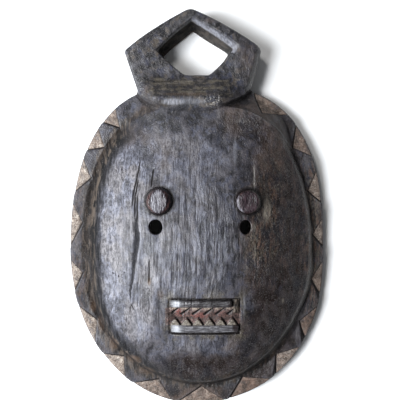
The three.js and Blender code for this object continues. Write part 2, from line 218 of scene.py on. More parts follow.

# Oval patches of the wood's tones and wear, some of them painted sheen, highlights and shade: middle x and
# y, half sizes across and up, and strength
PATCHES = {
    # Pale, bleached wood; the patches down the left of the face also paint in the window's sheen
    "pale": [
        (-86, -6, 20, 95, 0.95), (-62, -20, 34, 75, 0.62), (-22, 15, 42, 78, 0.5),
        (12, 0, 24, 60, 0.34), (-25, 86, 60, 26, 0.55), (-64, 68, 22, 36, 1.0),
        (-57, -70, 18, 28, 1.0), (-37.5, -31.6, 4, 9, 0.7), (51, -50, 7, 10, 0.45),
        (8, -94, 42, 14, 0.5), (-30, -106, 34, 22, 0.25), (100, -80, 8, 18, 0.3),
    ],
    "brown": [
        (78, 10, 36, 130, 0.95), (50, 128, 34, 24, 0.7), (-47, 142, 12, 16, 0.6),
        (20, -120, 70, 20, 0.9), (60, -90, 45, 36, 0.75), (-38, 88, 16, 20, 0.35),
        (60, 190, 22, 44, 0.5), (-66, 104, 22, 16, 0.5), (0, -152, 90, 16, 0.8),
        (116, 0, 12, 100, 0.8), (-118, -10, 10, 130, 0.45), (-80, -118, 30, 24, 0.5),
    ],
    # Darker wood, and painted shade beside the right end of the horns' base and at the right ends of the
    # lips
    "dark": [
        (32, 145, 16, 12, 0.85), (50, 160, 12, 20, 0.55), (-36, 204, 24, 26, 0.5),
        (-64, 186, 14, 24, 0.45), (36, 210, 26, 22, 0.3), (92, 30, 14, 96, 0.8),
        (66, 70, 34, 60, 0.35), (76, -52, 28, 50, 0.95), (63, -27, 15, 17, 0.7),
        (74, -88, 34, 30, 0.9), (37.5, -74.3, 4.2, 8, 0.9), (32.3, -53.3, 2.5, 4.5, 0.8),
        (-64, 110, 24, 12, 0.4), (-20, 126, 60, 11, 0.48), (40, 112, 30, 22, 0.4),
        (18, -120, 76, 20, 0.9), (-62, -102, 26, 16, 0.38), (30, 22, 9, 22, 0.5),
        (-46, 5, 5, 14, 0.35), (-48, -42, 7, 16, 0.45), (-40, 62, 9, 7, 0.4),
        (-24, 123.6, 3, 2.4, 0.8), (44.6, 175, 2.2, 3, 0.8),
    ],
    # Wear, and painted highlights: the bluish band below the horns' crest and thin light streaks beside
    # cracks and grain
    "worn": [
        (-22, 140.2, 12, 3.0, 0.62), (-10, 140.6, 22, 2.8, 0.26), (36.6, 93, 1.7, 13, 0.3),
        (67, 37, 4.5, 12, 0.52), (6, 53, 1.6, 10, 0.22), (26.5, 2, 2, 14, 0.3),
        (-37.7, -32, 3, 7.5, 0.4), (-56, -74, 7, 17, 0.2), (54.7, 70, 0.7, 14, 0.75),
        (53.6, 44, 0.6, 9, 0.06), (84, -51, 1.6, 1.6, 0.5), (54.7, 19.5, 0.8, 5, 0.7),
        (54.9, -6, 0.7, 12, 0.45), (45.2, -53, 1.3, 15, 0.35), (42, 122.2, 10, 0.9, 0.25),
        (21, 130, 1.8, 7, 0.15), (-38, 204, 5, 0.7, 0.4),
    ],
    "rust": [
        (-103.9, -60.7, 3, 6, 0.8), (-83.4, -98, 5, 7, 0.7), (-62.3, -112, 8, 5, 0.6),
        (-50, -124, 9, 5, 0.5), (-96, -78, 4, 9, 0.6), (-44.9, -31, 1.7, 4.5, 1.0),
        (-10, 147.6, 24, 1.6, 0.3), (-34, -44, 4, 5, 0.35), (13, 221.5, 5, 2.6, 0.25),
    ],
    "red": [
        (-15.5, -60.5, 5.5, 4.5, 1.0), (3, -63.5, 9, 3, 0.9), (22, -62, 7, 2.5, 0.5),
    ],
}

# Ovals with marks of their own: middle x and y, and half sizes across and up
GRAIN_SPREAD = (-10, 0, 62, 88)
CHIPPED_CREST = (15.6, 141.5, 10, 7)
UNDER_HORNS = (-6, 132, 62, 12)
FACETS = (-66, -55, 40, 60)

# How far the grain wanders sideways, which way the right boss's pale crescent of wear and painted highlight
# faces, where a highlight is painted across the lips, and how far round a point its hollowness is judged
GRAIN_WANDER = 14
CRESCENT = (-0.96, -0.28)
LIP_SHINE = -19.2
LIP_SHINE_WIDTH = 3.8
HOLLOW_REACH = 2.2

# How light the clay in the border is, by the angle from the middle of the face
CLAY_ANGLES = [0, 25, 44, 62, 100, 124, 145, 190, 235, 253, 272, 290, 308, 326, 346, 360]
CLAY_TONES = [0.6, 0.6, 0.3, 0.38, 0.5, 0.52, 0.92, 0.82, 0.74, 0.4, 0.34, 0.14, 0.54, 0.14, 0.42, 0.6]

# Colours: red, green and blue in thousandths of white
COLOURS = {
    # The fleck colour is partly a painted glint on the brown wood
    "blue bloom": (46, 48, 66), "burnt": (4, 3, 2.5), "fleck": (210, 180, 145), "soot": (8, 8, 11),
    "warm horn": (62, 51, 41), "blue horn": (26, 28, 44), "dark score": (22, 20, 20),
    "black dirt": (3, 3, 3), "hollow": (12, 10, 10), "rubbed": (105, 103, 112), "grit": (88, 82, 84),
    "pit": (9, 8, 9), "streak": (180, 182, 210), "split": (10, 9, 10), "dark crack": (8, 7, 7),
    "chalk": (220, 200, 175), "dust": (260, 240, 220), "dark back": (20, 15, 12),
    "clay gap": (90, 66, 52), "clay speck": (40, 30, 27), "cut line": (10, 8, 8),
    "bright red": (125, 46, 40), "pigment gap": (24, 18, 17), "tooth root": (260, 220, 180),
    # The tooth shadow is a painted shadow, the dark lip is painted shade at the lips' right ends, and the
    # lip highlight is a painted highlight
    "painted tooth shadow": (9, 7, 7), "dark lip": (10, 6, 6), "painted lip highlight": (400, 410, 440),
    "boss red": (70, 32, 26), "boss edge": (6, 4, 4), "boss seam": (9, 7, 8),
}

# Pairs of colours that a noise or a field mixes
TONES = {
    "oiled": ((9, 8.5, 11), (54, 51, 60)),
    # Bleached wood and painted sheen
    "bleached_and_sheen": ((24, 24, 35), (170, 175, 216)),
    "warm bleached and sheen": ((28, 25, 29), (168, 160, 171)),
    "brown": ((5, 3, 2.5), (92, 54, 37)),
    "olive": ((6, 5, 4), (115, 100, 76)),
    "cloudy": ((14, 9, 7), (78, 53, 40)),
    "shadow": ((6, 5.5, 7), (9, 5, 4)),
    "horn": ((8, 8, 9), (56, 54, 60)),
    "scored": ((32, 27, 21), (98, 85, 67)),
    # A painted highlight for the dome's side right of the groove
    "worn edge": ((50, 47, 42), (150, 142, 128)),
    "left dirt": ((2, 2, 2), (76, 59, 46)),
    "groove core": ((3, 3, 4), (18, 18, 22)),
    "foot dirt": ((4, 3, 3), (26, 18, 13)),
    "dirt lip": ((18, 14, 11), (78, 60, 47)),
    "rust": ((34, 21, 14), (105, 66, 43)),
    # Painted shade in the long groove
    "long groove": ((10, 10, 12), (36, 36, 41)),
    # Pale wear and painted highlight: bluish white, or warm on brown wood
    "worn": ((260, 265, 300), (230, 200, 160)),
    "side": ((12, 10, 9), (52, 42, 36)),
    # Painted shade for the walls of the horns' opening
    "opening": ((5, 4, 4), (26, 22, 17)),
    "bare": ((36, 26, 19), (115, 84, 60)),
    "clay": ((150, 118, 96), (330, 282, 245)),
    "cream": ((270, 235, 200), (600, 550, 480)),
    "stained clay": ((18, 9, 6), (90, 52, 38)),
    "mouth stain": ((30, 25, 20), (105, 92, 72)),
    "pigment": ((50, 35, 32), (100, 62, 55)),
    "ivory": ((60, 50, 42), (190, 168, 140)),
    "pink ivory": ((62, 40, 37), (150, 108, 98)),
    "splinter": ((12, 10, 9), (78, 61, 48)),
    "lower lip": ((40, 38, 41), (135, 132, 142)),
    "upper lip": ((18, 16, 17), (82, 78, 82)),
    "boss": ((6, 4, 5), (36, 23, 28)),
    # Wear and painted highlight on the bosses
    "rubbed and lit boss": ((18, 14, 19), (220, 215, 240)),
}
SHEEN = 0.27

# Lights: the direction they shine from, distance, width and height, radiance and colour
LIGHTS = {
    "window": ((-0.7, -0.14, 0.7), 1.4, (0.65, 1.1), 26, (0.93, 0.965, 1.0)),
    "lamp": ((-0.36, 0.44, 0.9), 1.6, (0.3, 0.3), 24, (1.0, 0.98, 0.95)),
}
ROOM_COLOUR = (0.93, 0.96, 1.0, 1)
ROOM_STRENGTH = 0.15
FLOOR_HALF = 3.0
FLOOR_COLOUR = (0.9, 0.9, 0.9, 1)
FLOOR_ROUGHNESS = 0.9


# Small helpers for arrays

def mix(a, b, share):
    return a + (b - a) * share


def smooth(value, low, high):
    share = np.clip((value - low) / (high - low), 0, 1)
    return share * share * (3 - 2 * share)


def bell(distance, width):
    """1 on a line and 0 a few widths away from it"""
    return np.exp(-((distance / width) ** 2))


def smooth_max(a, b, reach):
    """The higher of two surfaces, with the corner between them eased over the reach"""
    share = np.clip(0.5 + 0.5 * (a - b) / reach, 0, 1)
    return mix(b, a, share) + reach * share * (1 - share)


def smooth_min(a, b, reach):
    return -smooth_max(-a, -b, reach)


def round_over(depth, radius):
    """How far a rounded edge has dropped at a distance in from it"""
    turn = np.clip(1 - depth / radius, 0, 1)
    return radius * (1 - np.sqrt(1 - turn**2))


def lattice(column, row, seed):
    """A fixed random value from 0 to 1 for each whole-numbered place"""
    mixed = (column * 374761393 + row * 668265263 + seed * 1442695041) & 0xFFFFFFFF
    mixed = ((mixed ^ (mixed >> 13)) * 1274126177) & 0xFFFFFFFF
    return ((mixed ^ (mixed >> 16)) & 0xFFFFFF) / 0xFFFFFF


def noise(x, y, seed):
    """Smooth noise from -1 to 1 that swings about once in each unit"""
    column, row = np.floor(x).astype(np.int64), np.floor(y).astype(np.int64)
    across, up = smooth(x - column, 0, 1), smooth(y - row, 0, 1)
    low = mix(lattice(column, row, seed), lattice(column + 1, row, seed), across)
    high = mix(lattice(column, row + 1, seed), lattice(column + 1, row + 1, seed), across)
    return 2 * mix(low, high, up) - 1


def rough(x, y, seed, layers=3):
    """Noise of several scales, each half as large and half as strong as the one before"""
    total = np.zeros_like(x)
    for layer in range(layers):
        total += noise(x * 2**layer, y * 2**layer, seed + layer) / 2**layer
    return total


# The plan: ovals of the disc and of the groove round the face

def oval_radius(oval, angle):
    power = oval["squareness"] + oval["lean"] * np.cos(angle - math.radians(oval["lean_angle"]))
    long_radius = np.where(np.sin(angle) > 0, oval["top"], oval["bottom"])
    across = np.abs(np.cos(angle) / oval["half_width"]) ** power
    along = np.abs(np.sin(angle) / long_radius) ** power
    return (across + along) ** (-1 / power)


def polar(centre_x, centre_y, x, y):
    """Angle and distance of points from a centre"""
    return np.arctan2(y - centre_y, x - centre_x), np.hypot(x - centre_x, y - centre_y)


def around_face(x, y):
    return polar(VALLEY["x"], VALLEY["y"], x, y)


def depth_in(oval, x, y):
    """How far a point is inside an oval's edge, negative outside"""
    angle, radius = polar(oval["x"], oval["y"], x, y)
    return oval_radius(oval, angle) - radius


def brow_share(angle):
    """1 under the horns, where the face runs up into their base, and 0 round the rest of the face"""
    return smooth(np.sin(angle + math.radians(BROW_TURN)), 0.76, 0.95)


def side_width(angle):
    turned = np.cos(angle - math.radians(DOME_SIDE_EXTRA_ANGLE))
    return DOME_SIDE + DOME_SIDE_EXTRA * np.maximum(0, turned) ** 2


def face_height(angle, share):
    lift = BROW_LIFT * brow_share(angle) * np.minimum(share, 1) ** 5
    return CROWN - (CROWN - SHOULDER) * share**2 + lift


def face_at(x, y):
    angle, radius = around_face(x, y)
    return face_height(angle, radius / (oval_radius(VALLEY, angle) - side_width(angle)))


def border_width(angle):
    return 11.5 + 6.2 * np.sin(angle) ** 2 + 2.5 * np.maximum(0, np.sin(angle))


def valley_radius(angle):
    """The groove's distance from the middle of the face, a little uneven as it is cut by hand"""
    across, up = np.cos(angle), np.sin(angle)
    wander = 1.0 * noise(4 * across, 4 * up, 81) + 0.5 * noise(11 * across, 11 * up, 82)
    return oval_radius(VALLEY, angle) + wander


def disc_front(x, y):
    """The dome, its side, the groove round it and the rim, without the border's triangles"""
    angle, radius = around_face(x, y)
    valley = valley_radius(angle)
    shoulder = oval_radius(VALLEY, angle) - side_width(angle)
    floor = VALLEY_FLOOR + VALLEY_LIFT_AT_BROW * brow_share(angle)
    floor = floor + VALLEY_LIFT_AT_RIGHT * smooth(np.cos(angle), 0.2, 0.7)
    floor = floor + VALLEY_LIFT_AT_FOOT * smooth(-np.sin(angle), 0.4, 0.9)
    past_shoulder = np.clip((radius - shoulder) / (valley - shoulder), 0, 1) ** 1.6
    left_to_drop = face_height(angle, valley / shoulder) - floor
    dome = face_height(angle, radius / shoulder) - left_to_drop * past_shoulder

    out = radius - valley
    dome = np.where(out < 0, dome, floor - 1.2 * out)
    edge = depth_in(DISC, x, y)
    width = np.maximum(out + edge, 1)
    foot = np.maximum(0.1, 1 - border_width(angle) / width)
    rim = mix(floor, RIM_FRONT, np.clip(out / width / foot, 0, 1))
    height = smooth_max(dome, rim, 1.5 + 4 * smooth(-np.cos(angle), -0.7, 0.1))
    rolled = np.clip(1 - edge / BORDER_ROLL, 0, 1) ** 2
    return height - rolled - round_over(edge, EDGE_ROUND)


# The border: light triangles cut down from the rim, with a dark line along their sides

def on_disc(degrees, inset):
    angle = math.radians(degrees)
    radius = float(oval_radius(DISC, np.array(angle))) - inset
    return radius * math.cos(angle), radius * math.sin(angle)


def triangles():
    """Corner on the edge, tip, other corner, and whether the deep side is the first, of each triangle"""
    made = []
    for k, start in enumerate(TRIANGLE_STARTS):
        gap = 1.2 + 4.6 * math.cos(math.radians(start)) ** 2
        last = k + 1 == len(TRIANGLE_STARTS)
        end = LAST_TRIANGLE_END if last else TRIANGLE_STARTS[k + 1] - gap
        lean = 0.48 + 0.13 * math.cos(2 * math.radians(start - 225))
        tip_angle = mix(start, end, lean)
        tip_inset = float(border_width(np.array(math.radians(tip_angle))))
        deep_first = DEEP_AT_START[0] < start < DEEP_AT_START[1]
        made.append((on_disc(start, 0), on_disc(tip_angle, tip_inset), on_disc(end, 0), deep_first))
    return made


def beside(x, y, start, end):
    """How far a point is to the left of the line from start to end"""
    length = math.hypot(end[0] - start[0], end[1] - start[1])
    across = (end[0] - start[0]) * (y - start[1]) - (end[1] - start[1]) * (x - start[0])
    return across / length


def along(x, y, start, end):
    """How far along a line a point is, from 0 at its start to 1 at its end"""
    dx, dy = end[0] - start[0], end[1] - start[1]
    return ((x - start[0]) * dx + (y - start[1]) * dy) / (dx * dx + dy * dy)


def border_fields(x, y):
    """Distance inside a light triangle, distance inside a dark line, and depth of the cut"""
    inside = np.full_like(x, -99.0)
    line = np.full_like(x, -99.0)
    depth = np.zeros_like(x)
    for start, tip, end, deep_first in triangles():
        near = np.hypot(x - tip[0], y - tip[1]) < 60
        px, py = x[near], y[near]
        first = -beside(px, py, start, tip)
        second = -beside(px, py, tip, end)
        within = np.minimum(first, second)
        inside[near] = np.maximum(inside[near], within)
        deep, flat = (first, second) if deep_first else (second, first)
        share = np.clip(deep / np.maximum(deep + flat, 0.5), 0, 1)
        side = mix(TRIANGLE_CUT_DEEP_SIDE, TRIANGLE_CUT_FLAT_SIDE, share)
        depth[near] = np.where(within > -0.5, side, depth[near])
        for distance, inner, outer, is_deep in ((first, tip, start, deep_first),
                                                (second, tip, end, not deep_first)):
            place = along(px, py, inner, outer)
            past = np.maximum(np.maximum(-place, place - 1), 0) * math.dist(inner, outer)
            turned = math.cos(math.atan2(outer[1], outer[0]) - math.radians(WEDGE_ANGLE))
            wedge = WEDGE_LINE * max(0, turned) ** 6 * np.clip(place, 0, 1) ** 2
            width = DEEP_LINE + wedge if is_deep else FLAT_LINE
            line[near] = np.maximum(line[near], width - np.hypot(distance, past))
    return inside, line, depth


# The horn arch

def ring_depth(x, y, corners, bows, rounding):
    """How far a point is inside a ring of bowed edges whose corners are rounded"""
    depth = np.full_like(x, 999.0)
    for k, start in enumerate(corners):
        end = corners[(k + 1) % len(corners)]
        place = np.clip(along(x, y, start, end), 0, 1)
        edge = beside(x, y, start, end) + bows[k] * (4 * place * (1 - place)) ** 0.8
        depth = smooth_min(depth, edge, rounding)
    return depth


def arch_place(x, y):
    """How far a point is from the outside of the arch and from its opening, positive in the wood"""
    outer = ring_depth(x, y, ARCH_CORNERS, ARCH_BOWS, ARCH_ROUND)
    inner = -ring_depth(x, y, OPENING_CORNERS, OPENING_BOWS, OPENING_ROUND)
    return outer, inner


def base_rise(x, y):
    """How far the base of the horns stands over their arms"""
    above = smooth(y, BASE_TOP + 4, CREST_LINE - 6) / smooth(CREST_LINE, BASE_TOP + 4, CREST_LINE - 6)
    below = np.interp(CREST_LINE - y, [0, BAND_WIDTH, BASE_FOOT], [CREST_RISE, BAND_RISE, FOOT_RISE])
    rise = np.where(y > CREST_LINE, CREST_RISE * above, below)
    left = smooth(x + 0.25 * (y - CREST_LINE), *BASE_LEFT)
    return rise * left * (1 - smooth(x, *BASE_RIGHT))


def bevel_share(x, y):
    """How far down the worn bevel a point is, along the upper right side of the opening"""
    start, end = OPENING_CORNERS[1], OPENING_CORNERS[2]
    place = along(x, y, start, end)
    bow = OPENING_BOWS[1] * (4 * np.clip(place * (1 - place), 0, 1)) ** 0.8
    from_edge = -beside(x, y, start, end) - bow
    width = mix(BEVEL_AT_CORNER, BEVEL_AT_TOP, np.clip(place, 0, 1))
    ends = smooth(place, -0.12, 0.02) * (1 - smooth(place, 0.9, 1.05))
    return np.where(from_edge > -6, np.clip(1 - from_edge / width, 0, 1) * ends, 0)


def arch_front(x, y):
    outer, inner = arch_place(x, y)
    outer = outer + smooth(CREST_LINE + 8 - y, 0, 6) * ARCH_EDGE
    height = ARCH_HEIGHT - round_over(outer, ARCH_EDGE) - round_over(inner, OPENING_EDGE)
    from_right = beside(x, y, ARCH_CORNERS[-1], ARCH_CORNERS[0])
    height -= RIGHT_CHAMFER_DROP * np.clip(1 - from_right / RIGHT_CHAMFER_WIDTH, 0, 1)
    height -= BEVEL_DROP * bevel_share(x, y)
    return height + base_rise(x, y)


# Eyes and mouth

def boss_front(x, y, boss):
    dx, dy = x - boss["x"], y - boss["y"]
    share = np.hypot(dx, dy) / boss["radius"]
    centre = float(face_at(np.array([float(boss["x"])]), np.array([float(boss["y"])]))[0])
    off_flat = np.hypot(dx / boss["flat_across"], dy / boss["flat_up"]) / boss["radius"] - 1
    chamfer = BOSS_CHAMFER * np.clip(off_flat / 0.5, 0, 1) ** 1.2
    top = centre + BOSS_HEIGHT + boss["rise_to_right"] * dx - chamfer
    rounded = (1 - np.clip(share, 0, 1) ** 9) ** 0.4
    return np.where(share < 1, mix(centre - 3, top, rounded), -99)


def box_depth(x, y, box, round_by):
    """How far a point is inside a rectangle with round corners, negative outside"""
    across = np.abs(x - (box["left"] + box["right"]) / 2) - (box["right"] - box["left"]) / 2 + round_by
    up = np.abs(y - (box["top"] + box["bottom"]) / 2) - (box["top"] - box["bottom"]) / 2 + round_by
    outside = np.hypot(np.maximum(across, 0), np.maximum(up, 0))
    return round_by - outside - np.minimum(np.maximum(across, up), 0)


def tooth_corners(tooth, root_line, direction):
    """Left corner, tip and right corner of each tooth of a row. Direction is 1 for teeth that point up."""
    made = []
    for k in range(TEETH):
        left = tooth["first"] + k * TOOTH_PITCH
        tip = (left + tooth["tip"], root_line + direction * tooth["reach"])
        made.append(((left, root_line), tip, (left + tooth["width"], root_line)))
    return made


def tooth_fields(x, y, tooth, root_line, direction):
    """How far inside a row of teeth a point is, and how far inside the cut right of each, which is also
    painted dark as the tooth's shadow
    """
    deepest = np.full_like(x, -99.0)
    cut = np.full_like(x, -99.0)
    for left, tip, right in tooth_corners(tooth, root_line, direction):
        first, second = direction * -beside(x, y, left, tip), direction * -beside(x, y, tip, right)
        sides = smooth_min(first, second, tooth["rounding"])
        deepest = np.maximum(deepest, np.minimum(sides, direction * (y - root_line) + 1))
        distance, place = line_distance(x - TOOTH_LINE, y, [tip, right])
        cut = np.maximum(cut, mix(*tooth["cut"], place) - distance)
    return deepest, cut


def mouth_fields(x, y):
    """How far inside the sunk panel, the lips, the teeth and the cuts beside the teeth a point is"""
    panel = box_depth(x, y, MOUTH, 1)
    lips = np.maximum(box_depth(x, y, UPPER_LIP, LIP_ROUND), box_depth(x, y, LOWER_LIP, LIP_ROUND))
    upper, upper_cut = tooth_fields(x, y, UPPER_TOOTH, UPPER_LIP["bottom"], -1)
    lower, lower_cut = tooth_fields(x, y, LOWER_TOOTH, LOWER_LIP["top"], 1)
    return panel, lips, np.maximum(upper, lower), np.maximum(upper_cut, lower_cut)


def mouth_relief(x, y):
    panel, lips, teeth, cuts = mouth_fields(x, y)
    sloped = mix(0.25, 1, smooth(x - MOUTH["left"], 0, MOUTH_LEFT_SLOPE))
    relief = -MOUTH_DEPTH * smooth(panel, -0.3, 0.7) * sloped
    tooth = mix(-MOUTH_DEPTH, -TOOTH_SUNK, smooth(teeth, -0.5, 0.6))
    relief = np.where(panel > 0.4, np.maximum(relief, tooth) - 0.7 * smooth(cuts, -0.4, 0.3), relief)
    chip = box_depth(x, y, MOUTH_CHIP, 1)
    splintered = mix(-MOUTH_DEPTH, -CHIP_DEPTH, smooth(chip, 0, 1.4)) + 0.7 * noise(x / 1.4, y / 6, 61)
    relief = np.where(chip > 0, np.maximum(relief, splintered), relief)
    turn = 1 - np.clip(lips / LIP_ROUND, 0, 1)
    stands = LIP_STANDS - LIP_END_DROP * np.clip(1 - (x - UPPER_LIP["left"]) / LIP_END, 0, 1) ** 1.3
    lip = mix(-MOUTH_DEPTH, stands, np.sqrt(1 - turn**2))
    return np.where(lips > 0, np.maximum(relief, lip), relief)


# Cracks, grain and tool marks

def line_distance(x, y, points):
    """Distance to a line through points, and the share of the way along it"""
    nearest = np.full_like(x, 1e6)
    place = np.zeros_like(x)
    for k, (start, end) in enumerate(zip(points[:-1], points[1:])):
        here = np.clip(along(x, y, start, end), 0, 1)
        distance = np.hypot(x - mix(start[0], end[0], here), y - mix(start[1], end[1], here))
        place = np.where(distance < nearest, (k + here) / (len(points) - 1), place)
        nearest = np.minimum(nearest, distance)
    return nearest, place


def groove_edges(y):
    return (np.interp(y, LONG_GROOVE["up"], LONG_GROOVE["left"]),
            np.interp(y, LONG_GROOVE["up"], LONG_GROOVE["right"]))


def groove_depth(x, y):
    """Depth of the long groove, which falls slowly from its left edge and ends steeply at its right"""
    left, right = groove_edges(y)
    wander = 0.9 * noise(x / 40, y / 6, 31) + 0.5 * noise(x / 40, y / 1.8, 32)
    share = (x + wander - left) / (right - left)
    profile = np.where(share < 0.8, smooth(share, 0, 0.8), 1 - smooth(share, 0.8, 1.05))
    eased = 1 - 0.85 * smooth(y, *GROOVE_EASED_ABOVE)
    inside = (y > LONG_GROOVE["up"][0]) & (y < LONG_GROOVE["up"][-1])
    return inside * GROOVE_SLOPE * (right - left) * profile * eased


def groove_ridge(x, y):
    """1 along the groove's worn right edge, which is raised a little and also carries a painted highlight"""
    _, right = groove_edges(y)
    return bell(x - right - 1.1, 1.0) * smooth(y, -30, -10) * (1 - smooth(y, 26, 36))


def crack_list():
    """The cracks that show one by one, and small ones strewn over the middle of the face"""
    made = list(CRACKS)
    strewn = np.random.default_rng(7)
    middle_x, middle_y, across, up = GRAIN_SPREAD
    for _ in range(SMALL_CRACKS):
        x = middle_x + 0.85 * across * strewn.normal(0, 0.5)
        y = middle_y + 0.8 * up * strewn.normal(0, 0.5)
        length = strewn.uniform(8, 34)
        lean = strewn.uniform(-0.06, 0.06) * length
        width, depth = strewn.uniform(0.4, 0.65), strewn.uniform(0.15, 0.5)
        made.append(([(x, y), (x + lean, y - length)], width, depth))
    return made


def crack_depth(x, y):
    """How deep the cracks are at each point"""
    total = np.zeros_like(x)
    for points, width, depth in crack_list():
        low, high = np.min(points, 0) - 5, np.max(points, 0) + 5
        near = (x > low[0]) & (x < high[0]) & (y > low[1]) & (y < high[1])
        px, py = x[near], y[near]
        wander = 0.35 * noise(px / 40, py / 5, 31)
        distance, place = line_distance(px + wander, py, points)
        taper = np.sqrt(np.clip(np.minimum(place, 1 - place) * 6, 0, 1))
        total[near] = np.maximum(total[near], depth * taper * bell(distance, width))
    return total


def in_spread(x, y, spread):
    """1 in the middle of an oval patch, fading to 0 at its edge"""
    middle_x, middle_y, across, up = spread
    reach = np.hypot((x - middle_x) / across, (y - middle_y) / up)
    return 1 - smooth(reach, 0.55, 1.25)


def surface_marks(x, y):
    """Small unevenness of the carved front: broad tool facets, raised grain, cracks and chips"""
    on_dome = smooth(depth_in(VALLEY, x, y), 2, 16)
    drift = x + 2.2 * noise(x / 30, y / 55, 3)
    ridges = noise(drift / 2.3, y / 34, 5) + 0.6 * noise(drift / 1.25, y / 22, 8)
    patchy = smooth(rough(x / 22, y / 36, 71, 2), -0.5, 0.6)
    marks = 0.17 * ridges * mix(0.3, 1, in_spread(x, y, GRAIN_SPREAD) * patchy) * on_dome
    marks += 0.45 * rough(x / 26, y / 34, 11)
    marks += mix(0.2, 0.42, in_spread(x, y, FACETS)) * rough(x / 7, y / 13, 14) * on_dome
    marks += 0.12 * rough(x / 4.5, y / 4.5, 17) * (1 - 0.5 * on_dome)
    marks += 0.55 * rough(x / 1.7, y / 1.7, 23, 2) * in_spread(x, y, CHIPPED_CREST)
    marks += base_striations(x, y)
    return marks + 0.25 * groove_ridge(x, y) - crack_depth(x, y) - groove_depth(x, y)


def scored_share(x, y):
    """1 on the face of the horns' base, above its crest"""
    between = smooth(y, CREST_LINE, CREST_LINE + 2) * (1 - smooth(y, BASE_TOP - 7, BASE_TOP - 1))
    return between * smooth(x, *BASE_LEFT) * (1 - smooth(x, *BASE_RIGHT))


def base_striations(x, y):
    """Marks of the blade along the base of the horns"""
    lines = noise(x / 28, (y + 0.004 * (x + 10) ** 2) / 1.7, 41)
    return 0.28 * lines * scored_share(x, y)


# Front and back of the carving

def front_height(x, y):
    height = disc_front(x, y)
    inside, line, depth = border_fields(x, y)
    edge = depth_in(DISC, x, y)
    sunk = mix(TRIANGLE_CUT_AT_EDGE, TRIANGLE_CUT_AT_TIP, np.clip(edge / 16, 0, 1)) * depth
    height = height - sunk * smooth(inside, -0.2, 0.6) - 1.1 * smooth(line, -0.7, 0.6)

    outer, inner = arch_place(x, y)
    in_arch = (outer > -8) & (inner > -1) & (y > CREST_LINE - BASE_FOOT - 4)
    steep = mix(6, 1.1, smooth(x, *BASE_LEFT) * (1 - smooth(x, *BASE_RIGHT)))
    arch = np.where(in_arch, arch_front(x, y) - steep * np.maximum(0, -outer), -99)
    height = smooth_max(height, arch, mix(3, 9, in_spread(x, y, UNDER_HORNS)))

    for boss in BOSSES:
        height = np.maximum(height, boss_front(x, y, boss))
    return height + mouth_relief(x, y) + surface_marks(x, y)


def back_height(x, y):
    angle, radius = around_face(x, y)
    inset = side_width(angle) + HOLLOW_INSET
    inside = oval_radius(VALLEY, angle) - inset - radius
    wall = np.minimum(4 * inside, 8 + 2.2 * (inside - 2))
    ceiling = face_at(x, y) - WALL
    hollow = np.where(inside > 0, smooth_min(wall, ceiling, 3), 0)
    hollow = hollow + adze_marks(x, y) * smooth(inside, 2, 10)

    edge = depth_in(DISC, x, y)
    rounded = round_over(np.maximum(edge, 0), EDGE_ROUND)
    return np.maximum(hollow, np.where(edge > 0, np.minimum(rounded, ARCH_BACK), ARCH_BACK))


def adze_marks(x, y):
    """Shallow scoops that an adze leaves, side by side along the grain"""
    column = np.floor(x / ADZE_WIDTH)
    shift = lattice(column.astype(np.int64), np.zeros_like(column, dtype=np.int64), 51)
    across = x / ADZE_WIDTH - column - 0.5
    up = (y / ADZE_LENGTH + shift) % 1 - 0.5
    return -ADZE_DEPTH * (4 * across**2 + 1.5 * up**2) + 0.3 * rough(x / 18, y / 18, 53)


def plan_depth(x, y):
    """How far a point is inside the plan of the carving, negative outside and in its holes"""
    depth = np.maximum(depth_in(DISC, x, y), np.minimum(*arch_place(x, y)))
    for hole in EYE_HOLES:
        dx, dy = (x - hole["x"]) / hole["width"] * 2, (y - hole["y"]) / hole["height"] * 2
        outside_hole = (np.hypot(dx, dy) - 1) * hole["width"] / 2
        depth = np.minimum(depth, outside_hole)
    return depth


def back_plan(x, y):
    """Where a point of the front's plan lies on the back, as the opening narrows towards it"""
    outer, inner = arch_place(x, y)
    angle, radius = polar(*OPENING_CENTRE, x, y)
    share = np.clip(inner / np.maximum(inner + outer, 1), 0, 1)
    upper = smooth(np.sin(angle), -0.75, 0.1)
    moved = (outer > 0) & (inner > -1)
    radius = radius - np.where(moved, OPENING_TAPER * upper * (1 - share), 0)
    return OPENING_CENTRE[0] + radius * np.cos(angle), OPENING_CENTRE[1] + radius * np.sin(angle)


# The mesh

def to_outline(x, y):
    """Moves points onto the edge of the plan"""
    reach = 0.05
    for _ in range(4):
        depth = plan_depth(x, y)
        slope_x = (plan_depth(x + reach, y) - plan_depth(x - reach, y)) / (2 * reach)
        slope_y = (plan_depth(x, y + reach) - plan_depth(x, y - reach)) / (2 * reach)
        steep = np.maximum(slope_x**2 + slope_y**2, 0.2)
        x, y = x - depth * slope_x / steep, y - depth * slope_y / steep
    return x, y


def plan_grid():
    """Points of the plan and its four-cornered cells, with the outer points on its edge"""
    columns = np.arange(-DISC["half_width"] - 2, DISC["half_width"] + 2, STEP_X)
    rows = np.arange(-DISC["bottom"] - 2, ARCH_CORNERS[1][1] + 2, STEP_Y)
    x, y = np.meshgrid(columns, rows)
    middle_x, middle_y = x[:-1, :-1] + STEP_X / 2, y[:-1, :-1] + STEP_Y / 2
    kept = plan_depth(middle_x, middle_y) > 0
    number = np.arange(x.size).reshape(x.shape)
    cells = np.stack([number[:-1, :-1], number[:-1, 1:], number[1:, 1:], number[1:, :-1]], axis=-1)
    cells = cells[kept]
    used, flat = np.unique(cells, return_inverse=True)
    cells = flat.reshape(cells.shape)
    x, y = x.ravel()[used], y.ravel()[used]
    starts, ends = boundary(cells)
    on_edge = np.unique(starts)
    x[on_edge], y[on_edge] = to_outline(x[on_edge], y[on_edge])
    return x, y, cells, starts, ends


def boundary(cells):
    """Starts and ends of the cells' sides that have no neighbour"""
    starts = cells.ravel()
    ends = np.roll(cells, -1, axis=1).ravel()
    count = int(cells.max()) + 1
    forward, back = starts * count + ends, ends * count + starts
    alone = ~np.isin(forward, back)
    return starts[alone], ends[alone]


